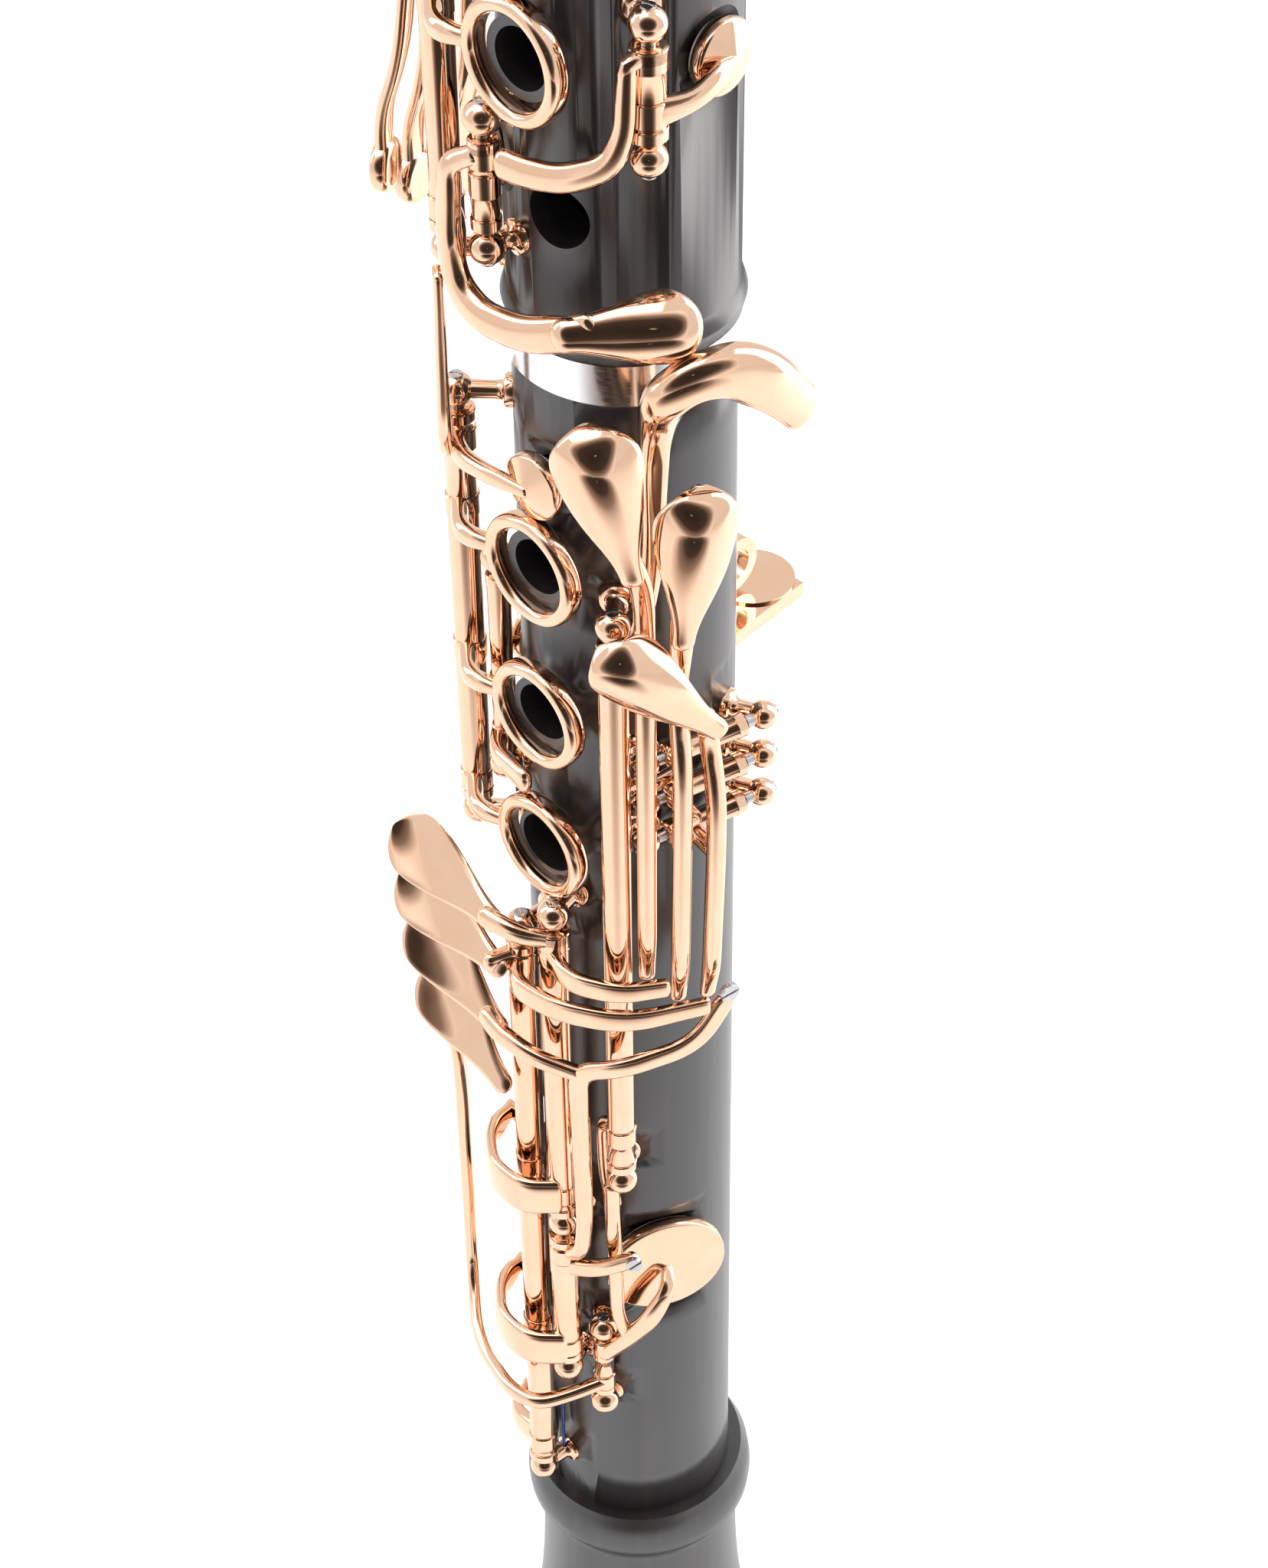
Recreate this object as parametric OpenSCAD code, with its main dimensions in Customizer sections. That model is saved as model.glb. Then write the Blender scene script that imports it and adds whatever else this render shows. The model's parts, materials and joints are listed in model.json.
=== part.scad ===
// Soprano clarinet in B flat, Boehm system, standing upright on its bell.
// The origin is at the centre of the bell rim and +Z runs up to the mouthpiece tip.
// Azimuth 0 is the front (-Y, the finger-hole side); positive azimuth turns towards the player's left (+X).

/* [Wood body] */
// Radius of the bell rim
bell_rim_r = 39.5; // [37:0.5:41]
// Height of the bell
bell_h = 105; // [100:1:108]
// Outside radius of the lower joint at its foot
lower_foot_r = 15; // [14.8:0.1:15.2]
// Outside radius of the lower joint at its top
lower_top_r = 14.3; // [14.2:0.1:14.5]
// Height of the join between the two joints
middle_z = 336; // [335:0.5:337]
// Height of the top of the upper joint
upper_top_z = 533; // [530:1:536]
// Length of the barrel
barrel_h = 65; // [62:1:67]
// Length of the mouthpiece above the barrel
mouthpiece_h = 74; // [70:1:76]
// Radius of the main bore
bore_r = 7.3; // [7.2:0.05:7.5]

/* [Keywork] */
// Radius of a post ball
ball_r = 2.3; // [2.1:0.1:2.4]
// Radius of a steel hinge rod
rod_r = 0.9; // [0.8:0.05:1]
// Outside radius of a long hinge tube
tube_r = 2.1; // [1.9:0.1:2.2]
// Radius of the round arms of the keys
arm_r = 1; // [0.9:0.05:1.1]
// Outside radius of a finger ring
ring_r = 8.1; // [7.9:0.1:8.2]
// Inside radius of a finger ring
ring_hole_r = 6; // [5.9:0.1:6.2]
// Thickness of a finger ring
ring_t = 1.5; // [1.3:0.1:1.6]

/* [Travel] */
// Angle by which the finger rings stand open
ring_open = 4.5; // [4:0.5:5]
// Angle by which the E/B key stands open
e_b_open = 6.6; // [6:0.1:7]
// Angle by which the F/C key stands open
f_c_open = 4.5; // [4:0.1:5]
// Angle by which the F sharp key stands open
f_sharp_open = 6; // [5:0.5:6.5]

/* [Hidden] */
$fn = 64;
fit = 0.05;            // radial clearance of a key tube on its rod
snug = 0.03;           // clearance of a fixed piece in its hole
end_gap = 0.3;         // space between a key tube and the post ball beside it
ball_step = ball_r + end_gap;
stem_r = 1.4;
stem_rho = 12.3;       // how deep the post stems go into the wood
foot_rho = 13.9;
foot_r = 2.4;
foot_h = 1.5;
pad_t = 2.2;
seat_gap = 0.1;        // space left under a closed pad
joint_clear = 0.05;
barrel_z = upper_top_z;
mouthpiece_z = barrel_z + barrel_h;
chimney_rho = 17;      // top of the raised finger holes
ring_rho = 15.5;       // underside of a closed finger ring
arm_over = 24.6;       // height of the arms that cross over the hinge tubes

// Hinges parallel to the bore: [azimuth, distance from the axis, lower end, upper end, tube radius]
H_RING = [-52, 21.5, 251.5, 318.7, tube_r];
H_SLIVER = [-38, 17.3, 264, 295, 1.5];
H_E_B = [-9, 20, 117.2, 236.8, tube_r];
H_F_SHARP = [9, 20, 183.1, 242.6, tube_r];
H_F_C = [9, 20, 148.5, 177.9, tube_r];
H_A_FLAT = [24, 17.1, 139, 152, 1.5];
H_HOOK = [36.4, 20.3, 196.6, 297, 2];
H_UPPER_RING = [-52, 21.5, 345.4, 406, tube_r];
H_C_SHARP = [-17.5, 18.8, 352.6, 365.2, 1.7];
H_E_FLAT = [51.4, 18.8, 370.2, 382.4, tube_r];
H_THUMB = [128, 20.5, 402, 440, 1.8];

// Pivots across the bore: [azimuth of the middle, distance, height, left ball, right ball]
P_F_SHARP = [73.5, 16.45, 274, -7.8, 11];
P_E_B = [73.5, 16.45, 267, -7.8, 11];
P_F_C = [73.5, 16.45, 260, -7.8, 11];
P_SIDE_1 = [-65, 17.6, 420, -5.4, 5.4];
P_SIDE_2 = [-78, 17.6, 412, -5.4, 5.4];
P_SIDE_3 = [-91, 17.6, 404, -5.4, 5.4];
P_SIDE_4 = [-104, 17.6, 396, -5.4, 5.4];
P_THROAT_A = [8, 17.2, 473, -5.4, 5.4];
P_THROAT_G = [44, 17.2, 462, -5.4, 5.4];
P_REGISTER = [180, 17.2, 470, -5.4, 5.4];

LOWER_HINGES = [H_RING, H_SLIVER, H_E_B, H_F_SHARP, H_F_C, H_A_FLAT, H_HOOK];
UPPER_HINGES = [H_UPPER_RING, H_C_SHARP, H_E_FLAT, H_THUMB];
LOWER_PIVOTS = [P_F_SHARP, P_E_B, P_F_C];
UPPER_PIVOTS = [P_SIDE_1, P_SIDE_2, P_SIDE_3, P_SIDE_4, P_THROAT_A, P_THROAT_G, P_REGISTER];

// Pads: [azimuth, height, cup radius, distance of the tone-hole seat]
S_VENT = [0, 316.2, 4.6, 13.6];
S_SLIVER = [-80, 276, 4.6, 13.6];
S_F_SHARP = [-50, 188, 9, 13.4];
S_F_C = [-52, 151, 9.6, 13.4];
S_E_B = [-52, 118.5, 9.6, 13.4];
S_A_FLAT = [58.7, 168, 9.4, 13.4];
S_C_SHARP = [-37, 359, 4, 13.6];
S_E_FLAT = [90, 376, 4.8, 13.6];
S_UPPER_VENT = [-6, 389.2, 3.4, 13.9];
S_THUMB_VENT = [176, 427, 4.4, 13.6];
S_SIDE_1 = [-60, 462, 5, 13.6];
S_SIDE_2 = [-84, 450, 5, 13.6];
S_SIDE_3 = [-104, 440, 5, 13.6];
S_SIDE_4 = [-126, 425, 5, 13.6];
S_THROAT_A = [8, 500, 4.6, 13.6];
S_THROAT_G = [44, 486, 4.6, 13.6];
S_REGISTER = [180, 505, 3.8, 15.2];
LOWER_SEATS = [S_VENT, S_SLIVER, S_F_SHARP, S_F_C, S_E_B, S_A_FLAT];
UPPER_SEATS = [S_C_SHARP, S_E_FLAT, S_UPPER_VENT, S_THUMB_VENT, S_SIDE_1, S_SIDE_2, S_SIDE_3, S_SIDE_4,
    S_THROAT_A, S_THROAT_G];

// Finger holes: [azimuth, height, hole radius]
RING_HOLES_LOWER = [[0, 303.4, 4], [0, 278.8, 4.2], [0, 255, 4.6]];
RING_HOLES_UPPER = [[0, 377.2, 4], [0, 401.4, 3.6]];
BARE_HOLE = [10, 355.8, 4.2];
THUMB_HOLE = [180, 413, 3.6];

ROSE_GOLD = [0.93, 0.70, 0.54];
BLACKWOOD = [0.10, 0.09, 0.09];
SILVER = [0.86, 0.86, 0.88];

// ---- places and directions ----

function polar(az, rho, z) = [rho * sin(az), -rho * cos(az), z];
function across(p, x, y, dz) = let (a = p[0]) [x * cos(a) + y * sin(a), x * sin(a) - y * cos(a), p[2] + dz];

module at(az, rho, z) {
    rotate([0, 0, az]) translate([0, -rho, z]) children();
}

// +Z of the children points out of the body
module radial(az, z) {
    rotate([0, 0, az]) translate([0, 0, z]) rotate([90, 0, 0]) children();
}

module swing(hinge, angle) {
    p = polar(hinge[0], hinge[1], 0);
    translate(p) rotate([0, 0, angle]) translate(-p) children();
}

module bar(p, q, r) {
    v = q - p;
    length = norm(v);
    translate(p) rotate([0, acos(v[2] / length), atan2(v[1], v[0])]) cylinder(r = r, h = length, $fn = 32);
}

// Eight-sided bar, filed flat along its length
module filed_bar(p, q, r) {
    v = q - p;
    length = norm(v);
    translate(p) rotate([0, acos(v[2] / length), atan2(v[1], v[0])]) linear_extrude(length) {
        polygon([for (k = [0 : 7]) r * [cos(22.5 + 45 * k), sin(22.5 + 45 * k)]]);
    }
}

// Arm through a list of points; each length runs a little past its ends so that the bends close up,
// and lengths that meet differ slightly in thickness
module wire(points, r = arm_r) {
    for (i = [1 : len(points) - 1]) {
        past = (points[i] - points[i - 1]) / norm(points[i] - points[i - 1]) * r * 0.5;
        filed_bar(points[i - 1] - past, points[i] + past, r * (i % 2 == 0 ? 0.97 : 1.03));
    }
}

// ---- hinges, posts and pads ----

module hinge_tube(h) {
    at(h[0], h[1], h[2]) cylinder(r = h[4], h = h[3] - h[2]);
}

module hinge_bore(h) {
    at(h[0], h[1], h[2] - 5) cylinder(r = rod_r + fit, h = h[3] - h[2] + 10);
}

module hinge_rod(h) {
    at(h[0], h[1], h[2] - ball_step - 1.6) cylinder(r = rod_r, h = h[3] - h[2] + 2 * ball_step + 3.2);
}

module pivot_frame(p) {
    rotate([0, 0, p[0]]) translate([0, -p[1], p[2]]) rotate([0, 90, 0]) children();
}

pivot_ball_r = 2;
module pivot_tube(p) {
    inset = pivot_ball_r + 1.1;
    pivot_frame(p) translate([0, 0, p[3] + inset]) cylinder(r = 1.5, h = p[4] - p[3] - 2 * inset);
}

module pivot_bore(p) {
    pivot_frame(p) translate([0, 0, p[3]]) cylinder(r = rod_r + fit, h = p[4] - p[3]);
}

module pivot_rod(p) {
    pivot_frame(p) translate([0, 0, p[3] - 1.4]) cylinder(r = rod_r, h = p[4] - p[3] + 2.8);
}

function pivot_az(p, x) = p[0] + atan2(x, p[1]);
function pivot_rho(p, x) = norm([x, p[1]]);

module stem(az, rho, z, r) {
    radial(az, z) {
        translate([0, 0, stem_rho]) cylinder(r = stem_r, h = rho - stem_rho);
        translate([0, 0, foot_rho]) cylinder(r = foot_r, h = foot_h);
        translate([0, 0, rho]) sphere(r = r);
    }
}

module stem_hole(az, z) {
    radial(az, z) {
        translate([0, 0, stem_rho - joint_clear]) cylinder(r = stem_r + snug, h = 20);
        translate([0, 0, foot_rho - joint_clear]) cylinder(r = foot_r + snug, h = 20);
    }
}

module posts(hinges, pivots) {
    for (h = hinges) for (z = [h[2] - ball_step, h[3] + ball_step]) difference() {
        stem(h[0], h[1], z, ball_r);
        at(h[0], h[1], z - 5) cylinder(r = rod_r + snug, h = 10);
    }
    for (p = pivots) for (x = [p[3], p[4]]) difference() {
        stem(pivot_az(p, x), pivot_rho(p, x), p[2], pivot_ball_r);
        pivot_frame(p) translate([0, 0, x - 5]) cylinder(r = rod_r + snug, h = 10);
    }
}

module post_holes(hinges, pivots) {
    for (h = hinges) for (z = [h[2] - ball_step, h[3] + ball_step]) stem_hole(h[0], z);
    for (p = pivots) for (x = [p[3], p[4]]) stem_hole(pivot_az(p, x), p[2]);
}

module springs(hinges) {
    for (h = hinges) at(h[0], 15.9, h[2] - ball_step + stem_r + 0.05) cylinder(r = 0.3, h = 11, $fn = 24);
}

// A cup holds its pad with the pad's face on the seat
module cup(s) {
    r = s[2];
    radial(s[0], s[1]) translate([0, 0, s[3] + seat_gap]) {
        difference() {
            union() {
                translate([0, 0, 1.1]) cylinder(r = r, h = pad_t + 0.6 - 1.1);
                translate([0, 0, pad_t + 0.6]) cylinder(r1 = r, r2 = 0.8, h = 0.9);
            }
            translate([0, 0, -1]) cylinder(r = r - 0.4, h = pad_t + 1.02);
        }
    }
}

// Clears the pad's space where an arm runs into the cup
module pad_room(s) {
    radial(s[0], s[1]) translate([0, 0, s[3] - 3]) cylinder(r = s[2] - 0.4, h = seat_gap + pad_t + 3.02);
}

module pad(s) {
    radial(s[0], s[1]) translate([0, 0, s[3] + seat_gap]) cylinder(r = s[2] - 0.45, h = pad_t);
}

function cup_top(s) = s[3] + seat_gap + pad_t + 0.9;
function cup_point(s, dz = 0) = polar(s[0], cup_top(s), s[1] + dz);

module tone_hole(s) {
    radial(s[0], s[1]) {
        translate([0, 0, s[3]]) cylinder(r = s[2] + 0.8, h = 12);
        cylinder(r = s[2] * 0.62, h = 20);
    }
}

module finger_ring(hole) {
    radial(hole[0], hole[1]) translate([0, 0, ring_rho]) difference() {
        cylinder(r = ring_r, h = ring_t);
        translate([0, 0, -1]) cylinder(r = ring_hole_r, h = 4);
    }
}

// ---- touch plates: a flat drop shape, wide end away from the origin ----

function drop(length, wide, narrow, n = 24) = concat(
    [for (i = [0 : n]) let (a = -90 + 180 * i / n) [length - wide + wide * cos(a), wide * sin(a)]],
    [[0, narrow], [0, -narrow]]
);

// ---- wood ----

module bell() color(BLACKWOOD) difference() {
    rotate_extrude($fn = 96) polygon(concat(
        [for (i = [0 : 14]) let (t = i / 14) [16.4 + (bell_rim_r - 16.4) * pow(1 - t, 2.6), 2.2 + 92 * t]],
        [[18.6, 97], [18.8, 99.5], [18.4, 102.5], [17.2, bell_h], [12.6, bell_h], [12.6, 84], [9.4, 84]],
        [for (i = [13 : -1 : 0]) let (t = i / 14) [9.2 + (bell_rim_r - 2.4 - 9.2) * pow(1 - t, 2.6), 84 * t]],
        [[bell_rim_r - 0.4, 0], [bell_rim_r, 0.6]]
    ));
}

module lower_joint() color(BLACKWOOD) difference() {
    union() {
        translate([0, 0, bell_h]) cylinder(r1 = lower_foot_r, r2 = lower_top_r, h = middle_z - 6 - bell_h);
        translate([0, 0, bell_h - 19]) cylinder(r = 11.6, h = 20);
        translate([0, 0, middle_z - 7]) cylinder(r = 13.2, h = 7 - joint_clear);
        for (hole = RING_HOLES_LOWER) radial(hole[0], hole[1]) translate([0, 0, 12]) {
            cylinder(r = 5.3, h = chimney_rho - 12);
        }
    }
    translate([0, 0, bell_h - 30]) cylinder(r = bore_r, h = middle_z - bell_h + 60);
    translate([0, 0, middle_z - 20]) cylinder(r = 12, h = 30);
    translate([0, 0, bell_h - 17.5]) cork_groove(11.6);
    for (s = LOWER_SEATS) tone_hole(s);
    for (hole = RING_HOLES_LOWER) radial(hole[0], hole[1]) cylinder(r = hole[2], h = 20);
    post_holes(LOWER_HINGES, LOWER_PIVOTS);
    thumb_screw_holes();
}

module socket_ring() color(SILVER) translate([0, 0, middle_z - 6 + joint_clear]) difference() {
    cylinder(r = 14.9, h = 6 - 2 * joint_clear);
    translate([0, 0, -1]) cylinder(r = 13.2 + snug, h = 9);
}

module upper_joint() color(BLACKWOOD) difference() {
    union() {
        translate([0, 0, middle_z]) cylinder(r1 = 14.9, r2 = 15.4, h = 2);
        translate([0, 0, middle_z + 2]) cylinder(r1 = 15.4, r2 = 14.7, h = 2.2);
        translate([0, 0, middle_z]) cylinder(r = 14.6, h = upper_top_z - middle_z);
        translate([0, 0, middle_z - 19]) cylinder(r = 11.6, h = 20);
        translate([0, 0, upper_top_z - 1]) cylinder(r = 11.6, h = 18);
        for (hole = RING_HOLES_UPPER) radial(hole[0], hole[1]) translate([0, 0, 12]) {
            cylinder(r = 5.3, h = chimney_rho - 12);
        }
        radial(S_REGISTER[0], S_REGISTER[1]) translate([0, 0, 12]) cylinder(r = 4.2, h = S_REGISTER[3] - 12);
    }
    translate([0, 0, middle_z - 30]) cylinder(r = bore_r, h = 300);
    translate([0, 0, middle_z - 17.5]) cork_groove(11.6);
    translate([0, 0, upper_top_z + 2.5]) cork_groove(11.6);
    for (s = UPPER_SEATS) tone_hole(s);
    for (hole = RING_HOLES_UPPER) radial(hole[0], hole[1]) cylinder(r = hole[2], h = 20);
    radial(BARE_HOLE[0], BARE_HOLE[1]) cylinder(r = BARE_HOLE[2], h = 20);
    radial(S_REGISTER[0], S_REGISTER[1]) cylinder(r = 2.5, h = 20);
    radial(THUMB_HOLE[0], THUMB_HOLE[1]) cylinder(r = 5, h = 20);
    post_holes(UPPER_HINGES, UPPER_PIVOTS);
}

module cork_groove(r) difference() {
    cylinder(r = r + 5, h = 13);
    translate([0, 0, -1]) cylinder(r = r - 1, h = 15);
}

module cork_sleeve(z) translate([0, 0, z + joint_clear]) difference() {
    cylinder(r = 11.85, h = 13 - 2 * joint_clear);
    translate([0, 0, -1]) cylinder(r = 10.6 + snug, h = 15);
}

module tenon_corks() color([0.78, 0.62, 0.42]) {
    cork_sleeve(bell_h - 17.5);
    cork_sleeve(middle_z - 17.5);
    cork_sleeve(upper_top_z + 2.5);
    cork_sleeve(mouthpiece_z - 15.5);
}

module barrel() color(BLACKWOOD) difference() {
    translate([0, 0, barrel_z + joint_clear]) rotate_extrude() polygon([
        [bore_r, 0], [14.6, 0], [14.6, 6], [15.4, 6], [15.9, 9], [16.6, 20], [17, 32], [16.6, 45], [15.7, 56],
        [15.2, 59], [14.4, 59], [14.4, barrel_h - 0.1], [bore_r, barrel_h - 0.1]
    ]);
    translate([0, 0, barrel_z - 1]) cylinder(r = 12, h = 19.2);
    translate([0, 0, mouthpiece_z - 17.2]) cylinder(r = 12, h = 20);
}

module ring_band(z, inner, outer) translate([0, 0, z]) difference() {
    cylinder(r = outer, h = 5.8);
    translate([0, 0, -1]) cylinder(r = inner + snug, h = 9);
}

module barrel_rings() color(SILVER) {
    ring_band(barrel_z + 0.15, 14.6, 15.9);
    ring_band(mouthpiece_z - 6 + 0.1, 14.4, 15.7);
}

beak_angle = 62;
module mouthpiece() color([0.05, 0.05, 0.05]) difference() {
    translate([0, 0, mouthpiece_z]) rotate_extrude() polygon([
        [6.5, -17], [11.6, -17], [11.6, 0.05], [14, 0.05], [14.2, 3], [13.4, 10], [12.9, 30],
        [11.5, mouthpiece_h], [6.5, mouthpiece_h]
    ]);
    translate([0, 0, mouthpiece_z - 15.5]) cork_groove(11.6);
    // flat table for the reed, on the thumb side
    translate([-20, 9.6, mouthpiece_z + 12]) cube([40, 20, 80]);
    // slope of the beak
    translate([0, -13.5, mouthpiece_z + 31]) rotate([90 - beak_angle, 0, 0]) translate([-20, -60, 0]) {
        cube([40, 60, 90]);
    }
}

reed_z = mouthpiece_z + 11.9 + 0.2;
module reed() color([0.88, 0.78, 0.52]) difference() {
    translate([-6.2, 9.65, reed_z]) cube([12.4, 2.6, 61]);
    translate([-10, 12.25, reed_z + 30]) rotate([4.6, 0, 0]) cube([20, 10, 40]);
}

lig_z = mouthpiece_z + 14;
lig_h = 22;
screw_y = 18.4;
module ligature() color(ROSE_GOLD) difference() {
    union() {
        translate([0, 0, lig_z]) cylinder(r = 14.9, h = lig_h);
        for (dz = [5, 16]) translate([-4, 12, lig_z + dz - 2]) cube([8, screw_y - 10, 4]);
    }
    translate([0, 0, lig_z - 1]) cylinder(r = 13.9, h = lig_h + 2);
    translate([-1.2, 12.8, lig_z - 1]) cube([2.4, 9, lig_h + 2]);
    for (dz = [5, 16]) translate([-20, screw_y, lig_z + dz]) rotate([0, 90, 0]) cylinder(r = 1.1 + snug, h = 40);
}

module ligature_screws() color(ROSE_GOLD) for (dz = [5, 16]) {
    translate([-5, screw_y, lig_z + dz]) rotate([0, 90, 0]) {
        cylinder(r = 1.1, h = 12);
        translate([0, 0, 9.3]) cylinder(r = 2.9, h = 1);
        translate([0, 0, 10.3]) cylinder(r = 2.6, h = 5);
    }
}

// ---- thumb rest on the back of the lower joint ----

rest_z = 276;
rest_screws = [-7, 12]; // heights of the two screws above the middle of the rest
eyelet_y = 21.6;
eyelet_z = rest_z + 4.6;
module thumb_screw_holes() {
    for (dz = rest_screws) radial(180, rest_z + dz) translate([0, 0, 10.4]) cylinder(r = 0.9, h = 20);
}

module thumb_rest() color(ROSE_GOLD) difference() {
    union() {
        translate([-4.5, 13, rest_z - 11]) cube([9, 4.2, 27]);
        translate([-6, 15, rest_z - 3.2]) cube([12, 15, 2.4]);
        translate([0, 26, rest_z - 2]) cylinder(r = 6, h = 1.6);
        // eyelet for a neck strap
        translate([-0.9, 16.5, eyelet_z - 2.4]) cube([1.8, 3, 4.8]);
        translate([-0.9, eyelet_y, eyelet_z]) rotate([0, 90, 0]) cylinder(r = 4.2, h = 1.8);
    }
    translate([0, 0, rest_z - 20]) cylinder(r = 14.9, h = 40);
    translate([-2, eyelet_y, eyelet_z]) rotate([0, 90, 0]) cylinder(r = 2.5, h = 4);
    for (dz = rest_screws) radial(180, rest_z + dz) {
        cylinder(r = 1.15, h = 30);
        translate([0, 0, 16.2]) cylinder(r = 2, h = 9);
    }
}

module thumb_rest_screws() color(SILVER) for (dz = rest_screws) difference() {
    radial(180, rest_z + dz) {
        translate([0, 0, 10.6]) cylinder(r = 0.85, h = 6);
        translate([0, 0, 16.25]) cylinder(r = 1.9, h = 1.1);
    }
    translate([-0.25, 16.8, rest_z + dz - 3]) cube([0.5, 2, 6]);
}

module vent_tubes() color(SILVER) {
    radial(THUMB_HOLE[0], THUMB_HOLE[1]) difference() {
        translate([0, 0, 7.5]) cylinder(r = 5 - snug, h = 9.3);
        cylinder(r = THUMB_HOLE[2], h = 30);
    }
    radial(S_REGISTER[0], S_REGISTER[1]) difference() {
        translate([0, 0, bore_r + 0.1]) cylinder(r = 2.5 - snug, h = S_REGISTER[3] - bore_r - 0.2);
        cylinder(r = 1.6, h = 30);
    }
}

module lower_posts() color(ROSE_GOLD) posts(LOWER_HINGES, LOWER_PIVOTS);
module upper_posts() color(ROSE_GOLD) posts(UPPER_HINGES, UPPER_PIVOTS);

module lower_rods() color(SILVER) {
    for (h = LOWER_HINGES) hinge_rod(h);
    for (p = LOWER_PIVOTS) pivot_rod(p);
}

module upper_rods() color(SILVER) {
    for (h = UPPER_HINGES) hinge_rod(h);
    for (p = UPPER_PIVOTS) pivot_rod(p);
}

module lower_springs() color([0.12, 0.20, 0.42]) springs([H_RING, H_E_B, H_HOOK]);
module upper_springs() color([0.12, 0.20, 0.42]) springs([H_UPPER_RING, H_THUMB]);

// ---- lower joint keys ----

// Bent arm from a finger ring to the hinge tube, arched over whatever lies between
module ring_arm(h, hole) {
    edge = polar(hole[0], ring_rho + ring_t / 2, hole[1]) + [-ring_r + 0.8, 0, 0];
    wire([edge, edge + [-4.2, -1.4, 0], polar(h[0], h[1] + 0.2, hole[1])]);
}

module lower_ring_key() color(ROSE_GOLD) swing(H_RING, -ring_open) difference() {
    union() {
        hinge_tube(H_RING);
        for (hole = RING_HOLES_LOWER) {
            finger_ring(hole);
            ring_arm(H_RING, hole);
        }
        cup(S_VENT);
        wire([cup_point(S_VENT), polar(-18, 18.6, 316.2), polar(-36, 21, 315), polar(-52, 21.7, 314)]);
        wire([polar(-52, 22, 312.6), polar(-44, 22.6, 314), polar(-36, 22.8, 320), polar(-36, 22.6, 343)]);
    }
    hinge_bore(H_RING);
    pad_room(S_VENT);
}

module lower_ring_pad() color("white") swing(H_RING, -ring_open) pad(S_VENT);

module sliver_key() color(ROSE_GOLD) difference() {
    union() {
        hinge_tube(H_SLIVER);
        cup(S_SLIVER);
        wire([polar(-38, 18, 267), polar(-26, 19.6, 267), polar(-5, 19.4, 267)], 1.3);
        wire([cup_point(S_SLIVER), polar(-62, 17.3, 276), polar(-38, 17.6, 276)]);
    }
    hinge_bore(H_SLIVER);
    pad_room(S_SLIVER);
}

module sliver_pad() color("white") pad(S_SLIVER);

// A touch plate for the right little finger: rises from the hinge side and reaches out to the player's right
touch_x = -4.5;
touch_y = -24;
touch_lean = 0;  // how far the face of the plate looks up
module little_finger_touch(z, tilt) {
    translate([touch_x, touch_y, z]) rotate([0, 0, 169]) rotate([0, tilt, 0]) rotate([90 + touch_lean, 0, 0]) {
        translate([0, 0, -0.7]) linear_extrude(1.4) polygon(drop(20, 4.1, 1.6));
    }
}

module e_b_key() color(ROSE_GOLD) swing(H_E_B, e_b_open) difference() {
    union() {
        hinge_tube(H_E_B);
        cup(S_E_B);
        wire([cup_point(S_E_B), polar(-30, 21, 121), polar(-9, 20.2, 122)], 1.4);
        little_finger_touch(233.6, -14);
        wire([[touch_x - 1, touch_y, 233.8], polar(-9, 20.6, 233.8)], 1.2);
        wire([polar(-9, 21, 232.4), polar(-2, 24.6, 232.4), polar(14, 26.2, 232.4), polar(36, 27.4, 232.4),
            polar(61, 27.2, 233)]);
    }
    hinge_bore(H_E_B);
    pad_room(S_E_B);
}

module e_b_pad() color("white") swing(H_E_B, e_b_open) pad(S_E_B);

module f_sharp_key() color(ROSE_GOLD) swing(H_F_SHARP, f_sharp_open) difference() {
    union() {
        hinge_tube(H_F_SHARP);
        cup(S_F_SHARP);
        wire([polar(9, 22, 188), polar(-2, arm_over, 188), polar(-16, arm_over, 188), polar(-34, 21.5, 188),
            cup_point(S_F_SHARP)], 1.2);
        wire([polar(9, 21, 241.2), polar(0, 24, 243), [touch_x - 1, touch_y, 243.4]], 1.2);
        little_finger_touch(243.2, -14);
        wire([polar(9, 21, 238), polar(20, 25, 238), polar(36, 26.4, 238), polar(50, 26, 238)]);
    }
    hinge_bore(H_F_SHARP);
    pad_room(S_F_SHARP);
}

module f_sharp_pad() color("white") swing(H_F_SHARP, f_sharp_open) pad(S_F_SHARP);

module f_c_key() color(ROSE_GOLD) swing(H_F_C, f_c_open) difference() {
    union() {
        hinge_tube(H_F_C);
        cup(S_F_C);
        wire([polar(9, 22, 152), polar(-2, arm_over, 152), polar(-16, arm_over, 152), polar(-34, 21.5, 152),
            cup_point(S_F_C)], 1.2);
        little_finger_touch(221.5, -27);
        wire([polar(11, 20.5, 174), polar(20, 22.6, 178), polar(22, 23.2, 186), polar(22, 24.6, 220),
            polar(36, 26.4, 223), polar(60, 26.4, 226), polar(70, 26.6, 233)]);
        wire([polar(22, 24.6, 219.5), polar(6, 25.4, 221), polar(-8, 25.2, 222), [touch_x - 2, touch_y + 0.2, 222.4]]);
        wire([polar(11, 20.5, 171), polar(26, 22.2, 174), polar(40, 22.4, 177)]);
    }
    hinge_bore(H_F_C);
    pad_room(S_F_C);
}

module f_c_pad() color("white") swing(H_F_C, f_c_open) pad(S_F_C);

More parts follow.
